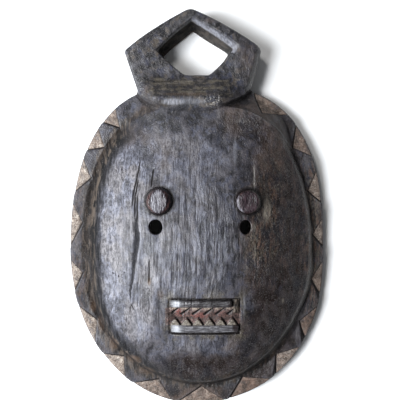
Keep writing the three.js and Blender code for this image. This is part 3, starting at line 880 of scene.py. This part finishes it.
def carving_points():
    """Points, outward faces and the share of the front, 1 in front and 0 behind, of the carving"""
    x, y, cells, starts, ends = plan_grid()
    back_x, back_y = back_plan(x, y)
    front = np.stack([x, y, front_height(x, y)], axis=1)
    back = np.stack([back_x, back_y, back_height(back_x, back_y)], axis=1)
    points = [front, back]
    faces = [cells, cells[:, ::-1] + len(x)]

    edge = np.unique(starts)
    place = np.zeros(len(x), np.int64)
    place[edge] = np.arange(len(edge))
    fronts = [np.ones(len(x)), np.zeros(len(x))]
    levels = [np.arange(len(x))]
    total = 2 * len(x)
    for step in range(1, WALL_STEPS):
        share = step / WALL_STEPS
        points.append(mix(front[edge], back[edge], share))
        fronts.append(np.full(len(edge), 1 - share))
        levels.append(total + place)
        total += len(edge)
    levels.append(np.arange(len(x)) + len(x))
    for upper, lower in zip(levels[:-1], levels[1:]):
        faces.append(np.stack([upper[ends], upper[starts], lower[starts], lower[ends]], axis=1))
    return np.concatenate(points), np.concatenate(faces), np.concatenate(fronts)


def mesh_from(name, points, faces):
    mesh = bpy.data.meshes.new(name)
    mesh.vertices.add(len(points))
    mesh.vertices.foreach_set("co", points.astype(np.float32).ravel())
    mesh.loops.add(faces.size)
    mesh.loops.foreach_set("vertex_index", faces.astype(np.int32).ravel())
    mesh.polygons.add(len(faces))
    starts = np.arange(0, faces.size, faces.shape[1], dtype=np.int32)
    mesh.polygons.foreach_set("loop_start", starts)
    mesh.update(calc_edges=True)
    mesh.validate()
    return mesh


def add_to_scene(name, data):
    thing = bpy.data.objects.new(name, data)
    bpy.context.scene.collection.objects.link(thing)
    return thing


def thin(piece, triangle_count):
    """Leaves fewer triangles, most of them where the surface bends most"""
    faces_now = 2 * len(piece.data.polygons)
    if faces_now > triangle_count:
        decimate = piece.modifiers.new("thin", "DECIMATE")
        decimate.ratio = triangle_count / faces_now
        decimate.use_collapse_triangulate = True
        evaluated = piece.evaluated_get(bpy.context.evaluated_depsgraph_get())
        mesh = bpy.data.meshes.new_from_object(evaluated)
        piece.modifiers.clear()
        piece.data = mesh


# Camera, floor and light

def set_camera():
    data = bpy.data.cameras.new("camera")
    data.lens = CAMERA_LENS
    data.sensor_width = SENSOR_WIDTH
    camera = add_to_scene("camera", data)
    camera.location = CAMERA_PLACE
    bpy.context.scene.camera = camera


def add_area_light(name, direction, distance, size, radiance, colour):
    """A flat light of a width and a height that faces the middle of the floor"""
    light = bpy.data.lights.new(name, "AREA")
    light.shape = "RECTANGLE"
    light.size, light.size_y = size
    light.energy = radiance * math.pi * size[0] * size[1]
    light.color = colour
    lamp = add_to_scene(name, light)
    lamp.location = Vector(direction).normalized() * distance
    lamp.rotation_euler = Vector(direction).to_track_quat("Z", "Y").to_euler()


def set_light():
    world = bpy.data.worlds.new("room")
    bpy.context.scene.world = world
    world.use_nodes = True
    background = world.node_tree.nodes["Background"]
    background.inputs["Color"].default_value = ROOM_COLOUR
    background.inputs["Strength"].default_value = ROOM_STRENGTH
    for name, settings in LIGHTS.items():
        add_area_light(name, *settings)
    bpy.context.scene.view_settings.view_transform = "Standard"


def add_floor():
    half = FLOOR_HALF
    corners = np.array([(-half, -half, 0), (half, -half, 0), (half, half, 0), (-half, half, 0)])
    floor = add_to_scene("floor", mesh_from("floor", corners, np.array([[0, 1, 2, 3]])))
    paper = bpy.data.materials.new("floor_paper")
    paper.use_nodes = True
    shader = paper.node_tree.nodes["Principled BSDF"]
    shader.inputs["Base Color"].default_value = FLOOR_COLOUR
    shader.inputs["Roughness"].default_value = FLOOR_ROUGHNESS
    floor.data.materials.append(paper)


# Fields on the mesh that the wood's nodes read, in millimetres or as a share from 0 to 1

def patches(x, y, spots):
    """The strongest of a list of soft oval patches at each point"""
    total = np.zeros_like(x)
    for *spread, share in spots:
        total = np.maximum(total, share * in_spread(x, y, spread))
    return total


def hollowness(x, y, reach):
    """How far the front lies below its surroundings on average, negative where it stands out"""
    around = np.zeros_like(x)
    for angle in np.radians(np.arange(0, 360, 45)):
        around += front_height(x + reach * math.cos(angle), y + reach * math.sin(angle)) / 8
    return np.clip(around - front_height(x, y), -4, 4)


def rubbed_and_lit_boss(boss, dx, dy, depth, flat):
    """How much a boss is painted pale, as rubbed wear and as a painted highlight: over its flat top,
    brighter towards its left, or along a crescent of its side
    """
    if boss["rubbed"] == "top":
        return smooth(flat, -0.4, 0.6) * mix(1, 0.3, smooth(dx, -2, 5))
    turned = (dx * CRESCENT[0] + dy * CRESCENT[1]) / np.maximum(np.hypot(dx, dy), 1)
    share = smooth(-flat, -0.6, 0.6) * smooth(depth, 0.9, 1.6) * smooth(turned, 0.5, 0.85)
    return 0.8 * share * (1 - smooth(depth, 2.6, 3.6))


def boss_fields(x, y):
    """How far inside a boss and inside its flat top a point is, and how much it is painted pale as wear and
    highlight
    """
    nowhere = np.full_like(x, -99.0)
    fields = {"boss": nowhere, "boss_top": nowhere, "boss_rubbed_and_lit": np.zeros_like(x)}
    for boss in BOSSES:
        dx, dy = x - boss["x"], y - boss["y"]
        depth = boss["radius"] - np.hypot(dx, dy)
        narrow = boss["radius"] * boss["flat_across"]
        flat = narrow - np.hypot(dx, dy * boss["flat_across"] / boss["flat_up"])
        here = depth > -3
        fields["boss"] = np.maximum(fields["boss"], depth)
        fields["boss_top"] = np.where(here, flat, fields["boss_top"])
        fields["boss_rubbed_and_lit"] = np.where(here, rubbed_and_lit_boss(boss, dx, dy, depth, flat), fields["boss_rubbed_and_lit"])
    return fields


def mouth_marks(x, y):
    panel, lips, teeth, cuts = mouth_fields(x, y)
    between_lips = np.minimum(UPPER_LIP["bottom"] - y, y - LOWER_LIP["top"])
    return {
        "mouth": box_depth(x, y, MOUTH_CUT, 1), "lips": lips, "chip": box_depth(x, y, MOUTH_CHIP, 1),
        # The line right of each tooth is painted dark as its shadow
        "teeth": np.minimum(teeth, panel), "tooth_shadow_line": cuts, "upper_row": smooth(y, -66, -64),
        "tooth_root": bell(y - UPPER_LIP["bottom"] + 0.8, 0.8),
        "pigment": np.minimum(box_depth(x, y, MOUTH_STAIN, 1), between_lips),
        # Where a highlight is painted across the lips' left ends
        "lip_end": bell(x - LIP_SHINE, LIP_SHINE_WIDTH),
    }


def arch_marks(x, y):
    outer, inner = arch_place(x, y)
    cut, line, _ = border_fields(x, y)
    return {
        "arch": np.minimum(outer, inner), "scored": scored_share(x, y), "line": line,
        "clay": np.minimum(np.minimum(cut, depth_in(DISC, x, y) - 0.8), -outer),
        # Painted shade on the walls of the horns' opening, strongest on its left
        "opening": smooth(-inner, -6, -1) * (outer > 0) * mix(1, 0.4, smooth(x, -3, 5)),
        # A painted highlight down the bevel on the upper right side of the opening
        "bevel_highlight": 0.65 * smooth(bevel_share(x, y), 0.05, 0.5) * (inner > -0.5),
    }


def face_marks(x, y):
    """Where a point is round the face: in its groove, and how far to the left, the right or the foot"""
    angle, radius = around_face(x, y)
    across, up = np.cos(angle), np.sin(angle)
    from_groove = valley_radius(angle) - radius
    right_groove = smooth(across, 0.3, 0.7) * bell(from_groove, 6)
    eased = 0.75 * np.maximum(in_spread(x, y, UNDER_HORNS), right_groove)
    return {
        "valley": from_groove, "edge": depth_in(DISC, x, y),
        "cavity": hollowness(x, y, HOLLOW_REACH) * (1 - eased),
        "crack": crack_depth(x, y), "groove": groove_depth(x, y),
        "clay_tone": np.interp(np.degrees(angle) % 360, CLAY_ANGLES, CLAY_TONES),
        "smooth": np.maximum(smooth(-up, 0.4, 0.8), smooth(up, 0.6, 0.9)),
        "leftward": smooth(-across, -0.1, 0.6), "downward": smooth(-up, 0.5, 0.85),
        "rightward": smooth(across, 0.3, 0.8) * (1 - 0.8 * smooth(up, 0.45, 0.8)),
        "below_brow": 1 - smooth(up, 0.78, 0.93),
    }


def store(piece, name, values):
    layer = piece.data.attributes.new(name, "FLOAT", "POINT")
    layer.data.foreach_set("value", values.astype(np.float32))


def store_fields(piece, middle_y):
    places = np.empty(3 * len(piece.data.vertices), np.float32)
    piece.data.vertices.foreach_get("co", places)
    places = places.reshape(-1, 3) / MM
    x, y = places[:, 0].astype(float), places[:, 1].astype(float) - middle_y
    fields = {**face_marks(x, y), **arch_marks(x, y), **mouth_marks(x, y), **boss_fields(x, y)}
    for name, spots in PATCHES.items():
        fields[name] = patches(x, y, spots)
    for name, spread in (("chips", CHIPPED_CREST), ("grain", GRAIN_SPREAD), ("under_horns", UNDER_HORNS)):
        fields[name] = in_spread(x, y, spread)
    # The painted highlights of the bevel and of the long groove's right edge join the worn patches
    fields["worn"] = np.maximum(np.maximum(fields["worn"], fields.pop("bevel_highlight")), 0.4 * groove_ridge(x, y))
    for name, values in fields.items():
        store(piece, name, values)


class Nodes:
    """Short calls that add a material's nodes

    A value is a number, a socket, a colour in thousandths, or the name of a colour or of a field.
    """

    def __init__(self, name):
        self.material = bpy.data.materials.new(name)
        self.material.use_nodes = True
        self.tree = self.material.node_tree
        self.shader = self.tree.nodes["Principled BSDF"]
        place = self.vector("MULTIPLY", self.add("TexCoord").outputs["Object"], (1 / MM, 1 / MM, 1 / MM))
        self.along_grain = place
        wander = self.calc("SUBTRACT", self.noise((26, 60, 26), 2, 12.5), 0.5)
        sideways = self.add("CombineXYZ", {"X": self.times(wander, GRAIN_WANDER)})
        self.along_grain = self.vector("ADD", place, sideways.outputs[0])

    def put(self, socket, value):
        is_colour = socket.type == "RGBA"
        if isinstance(value, str):
            value = COLOURS[value] if is_colour else self.field(value)
        if isinstance(value, bpy.types.NodeSocket):
            self.tree.links.new(value, socket)
        else:
            socket.default_value = (*(part / 1000 for part in value), 1) if is_colour else value

    def add(self, kind, inputs=None, **settings):
        """A new node with its settings and the values of its inputs, by their names or numbers"""
        node = self.tree.nodes.new("ShaderNode" + kind)
        for name, value in settings.items():
            setattr(node, name, value)
        for place, value in (inputs or {}).items():
            self.put(node.inputs[place], value)
        return node

    def field(self, name):
        return self.add("Attribute", attribute_name=name).outputs["Fac"]

    def vector(self, operation, a, b):
        return self.add("VectorMath", {0: a, 1: b}, operation=operation).outputs[0]

    def calc(self, operation, a, b):
        return self.add("Math", {0: a, 1: b}, operation=operation).outputs[0]

    def times(self, product, *others):
        for other in others:
            product = self.calc("MULTIPLY", product, other)
        return product

    def between(self, value, low, high):
        """0 below low, 1 above high and a smooth step between them"""
        inputs = {"Value": value, "From Min": low, "From Max": high}
        return self.add("MapRange", inputs, interpolation_type="SMOOTHSTEP").outputs["Result"]

    def band(self, value, low, rises, falls, high):
        """1 from the second to the third limit, fading to 0 at the first and the last"""
        return self.times(self.between(value, low, rises), self.between(value, high, falls))

    def mix(self, share, a, b):
        return self.add("Mix", {0: share, 2: a, 3: b}).outputs[0]

    def blend(self, share, a, b):
        """Colour a where the share is 0 and colour b where it is 1"""
        return self.add("Mix", {0: share, 6: a, 7: b}, data_type="RGBA").outputs[2]

    def tone(self, pair, value, *limits):
        """The two colours of a pair, mixed by a value or by its step between two limits"""
        return self.blend(self.between(value, *limits) if limits else value, *TONES[pair])

    def over(self, colour, *coats):
        """Coats laid over a colour: each is a tone and shares whose product is how strongly it covers"""
        for tone, *shares in coats:
            colour = self.blend(self.times(*shares), colour, tone)
        return colour

    def noise(self, size, detail=2.0, offset=0.0):
        """Noise from about 0.25 to 0.75, whose swings have the size given in millimetres"""
        scaled = self.vector("MULTIPLY", self.along_grain, tuple(1 / one for one in size))
        moved = self.vector("ADD", scaled, (offset, offset * 1.7, offset * 0.6))
        return self.add("TexNoise", {"Vector": moved, "Scale": 1, "Detail": detail}).outputs["Fac"]

    def ragged(self, value, noise, reach):
        """A value that swings with a noise, so that its edges wander"""
        return self.calc("ADD", value, self.times(self.calc("SUBTRACT", noise, 0.5), reach))

    def bump(self, height, distance, normal):
        inputs = {"Distance": distance * MM, "Height": height}
        if normal is not None:
            inputs["Normal"] = normal
        return self.add("Bump", inputs).outputs["Normal"]


def patina(n, fibre, mottle, blotch):
    """Dark oiled wood, bleached blue-grey where it is pale, which down the left of the face also stands in
    for the window's sheen as a painted reflection, and mottled brown where it is brown
    """
    pores = n.calc("ADD", n.times(n.noise((1.3, 3.4, 2), 5, 63.1), 0.65), n.times(fibre, 0.35))
    strand = n.mix("grain", pores, fibre)
    warmer = n.tone("warm bleached and sheen", strand, 0.36, 0.60)
    bleached_and_sheen = n.over(n.tone("bleached_and_sheen", strand, 0.36, 0.60), (warmer, n.between(mottle, 0.43, 0.58)))
    stain = n.noise((1.2, 2.6, 1.3), 3, 37.3)
    olive = n.between(n.noise((9, 16, 9), 3, 39.4), 0.46, 0.60)
    flecks = n.between(n.noise((0.9, 1.6, 1.2), 2, 66.2), 0.60, 0.70)
    brown = n.over(
        n.tone("brown", n.noise((2.4, 13, 8), 5, 3.1), 0.42, 0.60),
        (n.tone("olive", stain, 0.40, 0.64), olive, 0.6),
        ("burnt", n.between(stain, 0.45, 0.36), 0.9),
        # Pale flecks on the brown wood, partly painted glints
        ("fleck", flecks, n.between("valley", 0, 4), 0.6),
        (n.tone("cloudy", mottle, 0.40, 0.58), "smooth", 0.85),
    )
    share = n.times("brown", n.between(n.noise((12, 22, 12), 4, 8.3), 0.22, 0.42))
    return n.over(
        n.tone("oiled", blotch, 0.36, 0.62),
        ("blue bloom", n.between(n.noise((5, 6, 5), 3, 14.4), 0.5, 0.64)),
        # Pale blue-grey where the pale patches lie, partly a painted sheen down the left of the face
        (bleached_and_sheen, "pale", n.mix(n.between(blotch, 0.32, 0.6), 0.5, 1.25)),
        (brown, share, n.mix("pale", 0.95, 0.15), n.mix("dark", 1.0, 0.5)),
        # Near black over the dark patches: darker wood, and painted shade by the horns' base
        (n.tone("shadow", "brown"), "dark", n.mix(n.between(blotch, 0.4, 0.6), 1.0, 0.65)),
        ("soot", n.between(mottle, 0.47, 0.36), 0.5),
    )


def arch_coat(n):
    """The horns' darker, closely mottled wood, which shows little grain"""
    mottled = n.noise((6, 7, 6), 5, 41.3)
    tone = n.tone("horn", mottled, 0.40, 0.64)
    tinted = n.over(
        tone,
        ("warm horn", n.between(n.noise((9, 9, 9), 3, 45.9), 0.47, 0.57)),
        ("blue horn", n.between(n.noise((8, 10, 8), 3, 49.3), 0.52, 0.60)),
    )
    tone = n.over(tone, (tinted, n.between(mottled, 0.42, 0.6)))
    return tone, n.between("arch", -4, 1), n.calc("SUBTRACT", 1, "brown"), 0.8


def base_coat(n):
    """Olive brown wood along the base of the horns, scored across by the blade"""
    tone = n.tone("scored", n.noise((22, 1.5, 9), 4, 52.6), 0.38, 0.62)
    tone = n.over(tone, ("dark score", n.between(n.noise((7, 5, 7), 3, 54.1), 0.56, 0.42)))
    reach = n.ragged("scored", n.noise((7, 4, 7), 4, 58.8), 2.4)
    return tone, n.between(reach, 0.2, 1.1), 0.85


def valley_dirt(n, grit):
    """How dirty the groove round the face is, wide on its left and thin on its right, and its coats, with a
    painted highlight along the dome's side right of it
    """
    reach = n.ragged("valley", n.noise((3, 12, 4), 3, 17.1), 9)
    line = n.ragged("valley", grit, 1.2)
    right_band = n.mix("downward", n.band(line, -1.2, -0.2, 0.5, 1.5), n.band(reach, -7, -3, 4, 13))
    dirt = n.mix("leftward", right_band, n.band(reach, -5.5, 0.5, 8, 17))
    dirt = n.times(dirt, "below_brow", n.between("edge", 3, 7))
    streaks = n.between(n.noise((2.6, 14, 12), 4, 15.3), 0.44, 0.62)
    left_tone = n.tone("left dirt", streaks, 0.25, 1.0)
    left_tone = n.over(left_tone, (n.tone("groove core", streaks), n.between("valley", 2, 8)))
    tone = n.over("black dirt", (n.tone("foot dirt", streaks), "downward"), (left_tone, "leftward"))
    return dirt, [
        # A paler band on the dome's side right of the groove: a painted highlight
        (n.tone("worn edge", grit, 0.36, 0.62), n.band(line, 0.8, 2.2, 5.5, 7.5), "rightward", 0.32),
        (tone, dirt, 0.97),
        (n.tone("dirt lip", streaks, 0.1, 0.9), n.band(reach, -11, -7, -3, 0), "leftward", 0.75),
    ]


def wear_coats(n, grit, hollow, dirt):
    """Dark hollows, rubbed ridges, pale grit and pits"""
    rubbed = n.times(n.between("cavity", -0.1, -0.7), n.between(grit, 0.35, 0.6))
    rubbed = n.times(rubbed, n.between("mouth", -1.5, -4), n.mix(dirt, 1.0, 0.1))
    return [
        ("hollow", hollow, 0.75),
        ("rubbed", rubbed, n.mix(n.between("arch", -1, 1), 0.4, 0.15)),
        ("grit", n.between(grit, 0.56, 0.70), n.mix(dirt, 0.42, 0.12)),
        ("pit", n.between(grit, 0.43, 0.30), 0.65),
    ]


def grain_coats(n, fine, grain, in_groove):
    """Pale streaks and dark splits of the grain, painted shade in the long groove, and the cracks"""
    return [
        ("streak", n.between(fine, 0.55, 0.68), grain, 0.55),
        ("split", n.between(n.noise((0.9, 15, 3), 3, 9.1), 0.42, 0.34), grain, 0.9),
        # Painted shade down the long groove
        (n.tone("long groove", fine, 0.40, 0.60), in_groove, 0.9),
        ("dark crack", n.between("crack", 0.12, 0.6)),
    ]


def kaolin(n, grit, specks, front):
    """How much pinkish white clay is in the border's triangles, and its coats and the cut lines'"""
    share = n.between(n.ragged("clay", n.noise((2.6, 2.6, 2.6), 3, 6.6), 2.4), -0.1, 0.5)
    patchy = n.mix(n.between(n.noise((6, 6, 6), 4, 2.7), 0.34, 0.54), 0.5, 1.0)
    share = n.times(share, patchy, front)
    lumps = n.noise((6, 6, 6), 6, 31.0)
    clay = n.over(
        n.tone("clay", grit, 0.36, 0.60),
        (n.tone("cream", grit, 0.38, 0.56), n.between(lumps, 0.52, 0.70), 0.75),
        ("clay gap", n.between(lumps, 0.42, 0.32), 0.8),
        ("clay speck", n.between(specks, 0.58, 0.66)),
    )
    clay = n.over(n.tone("stained clay", lumps, 0.4, 0.6), (clay, "clay_tone"))
    return share, [(clay, share), ("cut line", n.between("line", -0.35, 0.35), front)]


def mouth_coats(n, grit):
    """Red pigment behind the teeth, pale teeth with a painted shadow right of each, and dark polished lips
    with a painted highlight at their left ends and painted shade at their right ends
    """
    halo = n.between(n.noise((8, 10, 8), 4, 28.3), 0.42, 0.6)
    panel = n.between("mouth", 0, 0.5)
    red = n.over(
        n.tone("pigment", n.noise((5, 3, 5), 3, 4.9), 0.44, 0.60),
        ("bright red", "red", n.between(grit, 0.36, 0.52)),
        ("pigment gap", n.between(grit, 0.50, 0.38)),
    )
    tooth = n.over(
        n.tone("ivory", grit, 0.38, 0.64),
        (n.tone("pink ivory", grit, 0.38, 0.64), "upper_row"),
        ("tooth root", "tooth_root", n.between(grit, 0.36, 0.5)),
    )
    smear = n.between(n.noise((7, 1.1, 4), 4, 57.7), 0.38, 0.64)
    lip = n.over(
        n.tone("lower lip", smear),
        (n.tone("upper lip", smear), "upper_row"),
        # Painted shade at the lips' right ends
        ("dark lip", "dark"),
        # A painted highlight across the lips' left ends
        ("painted lip highlight", "lip_end", n.mix(smear, 0.75, 1.0)),
    )
    return [
        (n.tone("mouth stain", grit, 0.4, 0.6), n.between("mouth", -11, -1), halo, 0.7),
        ("cut line", panel),
        (red, n.between("pigment", -0.2, 0.5)),
        (tooth, n.between("teeth", 0.1, 0.7)),
        # A painted shadow along the line right of each tooth
        ("painted tooth shadow", n.between("tooth_shadow_line", -0.2, 0.3), panel),
        (n.tone("splinter", n.noise((1.0, 5, 2), 2, 25.2), 0.4, 0.6), n.between("chip", 0, 0.6)),
        (lip, n.between("lips", -0.1, 0.4)),
    ]


def boss_coats(n, fine):
    """The eyes' bosses: reddish dark wood with upright grain, rubbed pale in places with a painted highlight
    there
    """
    wood = n.over(
        n.tone("boss", fine, 0.42, 0.6),
        ("boss red", n.between("boss_top", 0.2, -1.2), n.between(fine, 0.4, 0.55), 0.6),
        ("boss edge", n.between("boss", 2.8, 1.0)),
        # Pale bluish paint over the left boss's top and the right boss's crescent: wear and a painted
        # highlight
        (n.tone("rubbed and lit boss", fine, 0.45, 0.60), "boss_rubbed_and_lit"),
    )
    return [("boss seam", n.between("boss", -1.8, -0.5), 0.85), (wood, n.between("boss", -0.3, 0.2))]


def sides_and_back(n, colour, blotch, front):
    """The front's colour, the plainer wood of the edges, painted shade on the walls of the horns' opening,
    and the bare back
    """
    side = n.tone("side", blotch, 0.36, 0.62)
    side = n.over(side, (n.tone("opening", blotch, 0.40, 0.62), "opening", 0.95), (colour, front))
    bare = n.tone("bare", n.noise((2.2, 40, 8), 3, 4.4), 0.35, 0.65)
    bare = n.over(bare, ("dark back", n.between(blotch, 0.55, 0.40), 0.7))
    return n.over(bare, (side, n.between("front", 0.02, 0.12)))


def roughness(n, blotch, on_dome, hollow, in_groove, dirt, clay, front):
    """Satin wood, polished where it is dark or brown, and matt in the dirt, the cracks and the clay"""
    rough = n.mix(n.between(blotch, 0.35, 0.65), 0.46, 0.32)
    layers = [
        ("brown", n.mix(on_dome, 0.9, 0.22)),
        (n.between("arch", -2, 3), 0.33),
        ("dark", 0.24),
        (hollow, n.mix(on_dome, 0.9, 0.4)),
        (in_groove, 1.0),
        (n.times("under_horns", 0.7), 0.75),
        (n.between("crack", 0.1, 0.5), 0.9),
        (dirt, n.mix("leftward", n.mix("downward", 0.25, 0.4), 1.0)),
        (n.between("boss", -0.2, 0.4), 0.26),
        (n.between("lips", -0.2, 0.4), 0.24),
        (clay, 0.85),
    ]
    for share, value in layers:
        rough = n.mix(share, rough, value)
    return n.mix(front, n.mix("opening", 0.5, 1.0), rough)


def wood_material():
    """Carved wood: patina, grain, dirt in the hollows, wear, kaolin in the cuts and pigment"""
    n = Nodes("carved_wood")
    fibre = n.noise((1.5, 24, 6), 4)
    fine = n.noise((0.6, 8, 2.5), 3, 5.5)
    mottle = n.noise((16, 24, 16), 4, 1.3)
    blotch = n.noise((6.5, 11, 7), 5, 21.9)
    grit = n.noise((1.1, 1.4, 1.1), 2, 7.7)
    specks = n.noise((0.9, 0.9, 0.9), 1, 2.2)
    front = n.between("front", 0.82, 0.95)
    hollow = n.between("cavity", 0.08, 0.7)
    grain = n.times("grain", n.between(n.noise((14, 30, 14), 2, 33.1), 0.36, 0.6))
    in_groove = n.between(n.ragged("groove", n.noise((1.2, 9, 3), 3, 48.2), 1.8), 0.0, 1.3)
    in_groove = n.times(in_groove, n.between("groove", 0.0, 0.3))
    on_dome = n.between("valley", 0, 4)

    dirt, dirt_coats = valley_dirt(n, grit)
    clay, clay_coats = kaolin(n, grit, specks, front)
    brushed = n.between(n.noise((1.2, 7, 3), 3, 27.7), 0.36, 0.6)
    colour = n.over(
        patina(n, fibre, mottle, blotch),
        arch_coat(n),
        base_coat(n),
        *dirt_coats,
        (n.tone("rust", grit), "rust"),
        *wear_coats(n, grit, hollow, dirt),
        *grain_coats(n, fine, grain, in_groove),
        ("chalk", "chips", n.between(n.noise((1.1, 1.1, 1.1), 2, 6.1), 0.56, 0.66)),
        ("dust", n.between(specks, 0.69, 0.75), 0.45),
        *clay_coats,
        *mouth_coats(n, grit),
        *boss_coats(n, fine),
        # Pale wear, and painted highlights along the crest, the opening's bevel, the long groove's right
        # edge and beside cracks
        (n.tone("worn", "brown"), "worn", n.mix(brushed, 0.35, 1.1)),
    )
    n.put(n.shader.inputs["Base Color"], sides_and_back(n, colour, blotch, front))
    n.put(n.shader.inputs["Roughness"], roughness(n, blotch, on_dome, hollow, in_groove, dirt, clay, front))
    n.shader.inputs["Specular IOR Level"].default_value = SHEEN

    strength = n.mix(n.between("arch", -4, 0), n.mix(grain, 0.25, 1.0), 0.06)
    ridges = n.times(n.calc("ADD", fibre, n.times(fine, 0.7)), strength)
    pitted = n.times(n.noise((1.3, 2.2, 1.3), 3, 29.9), n.times("brown", on_dome))
    gritty = n.times(grit, n.mix(dirt, 1.0, 0.2))
    normal = None
    for height, depth in ((ridges, 0.7), (blotch, 1.1), (gritty, 0.4), (pitted, 0.8)):
        normal = n.bump(height, depth, normal)
    n.put(n.shader.inputs["Normal"], normal)
    return n.material


def build_mask():
    points, faces, fronts = carving_points()
    middle_y = cad_low.y / MM + DISC["bottom"]
    points = (points + (0, middle_y, 0)) * MM
    piece = add_to_scene("carved_mask", mesh_from("carved_mask", points, faces))
    store(piece, "front", fronts)
    thin(piece, TRIANGLES)
    piece.data.polygons.foreach_set("use_smooth", np.ones(len(piece.data.polygons), bool))
    store_fields(piece, middle_y)
    piece.data.materials.clear()
    piece.data.materials.append(wood_material())
    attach(piece, "root")
    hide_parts("mask")


set_camera()
add_floor()
set_light()
build_mask()
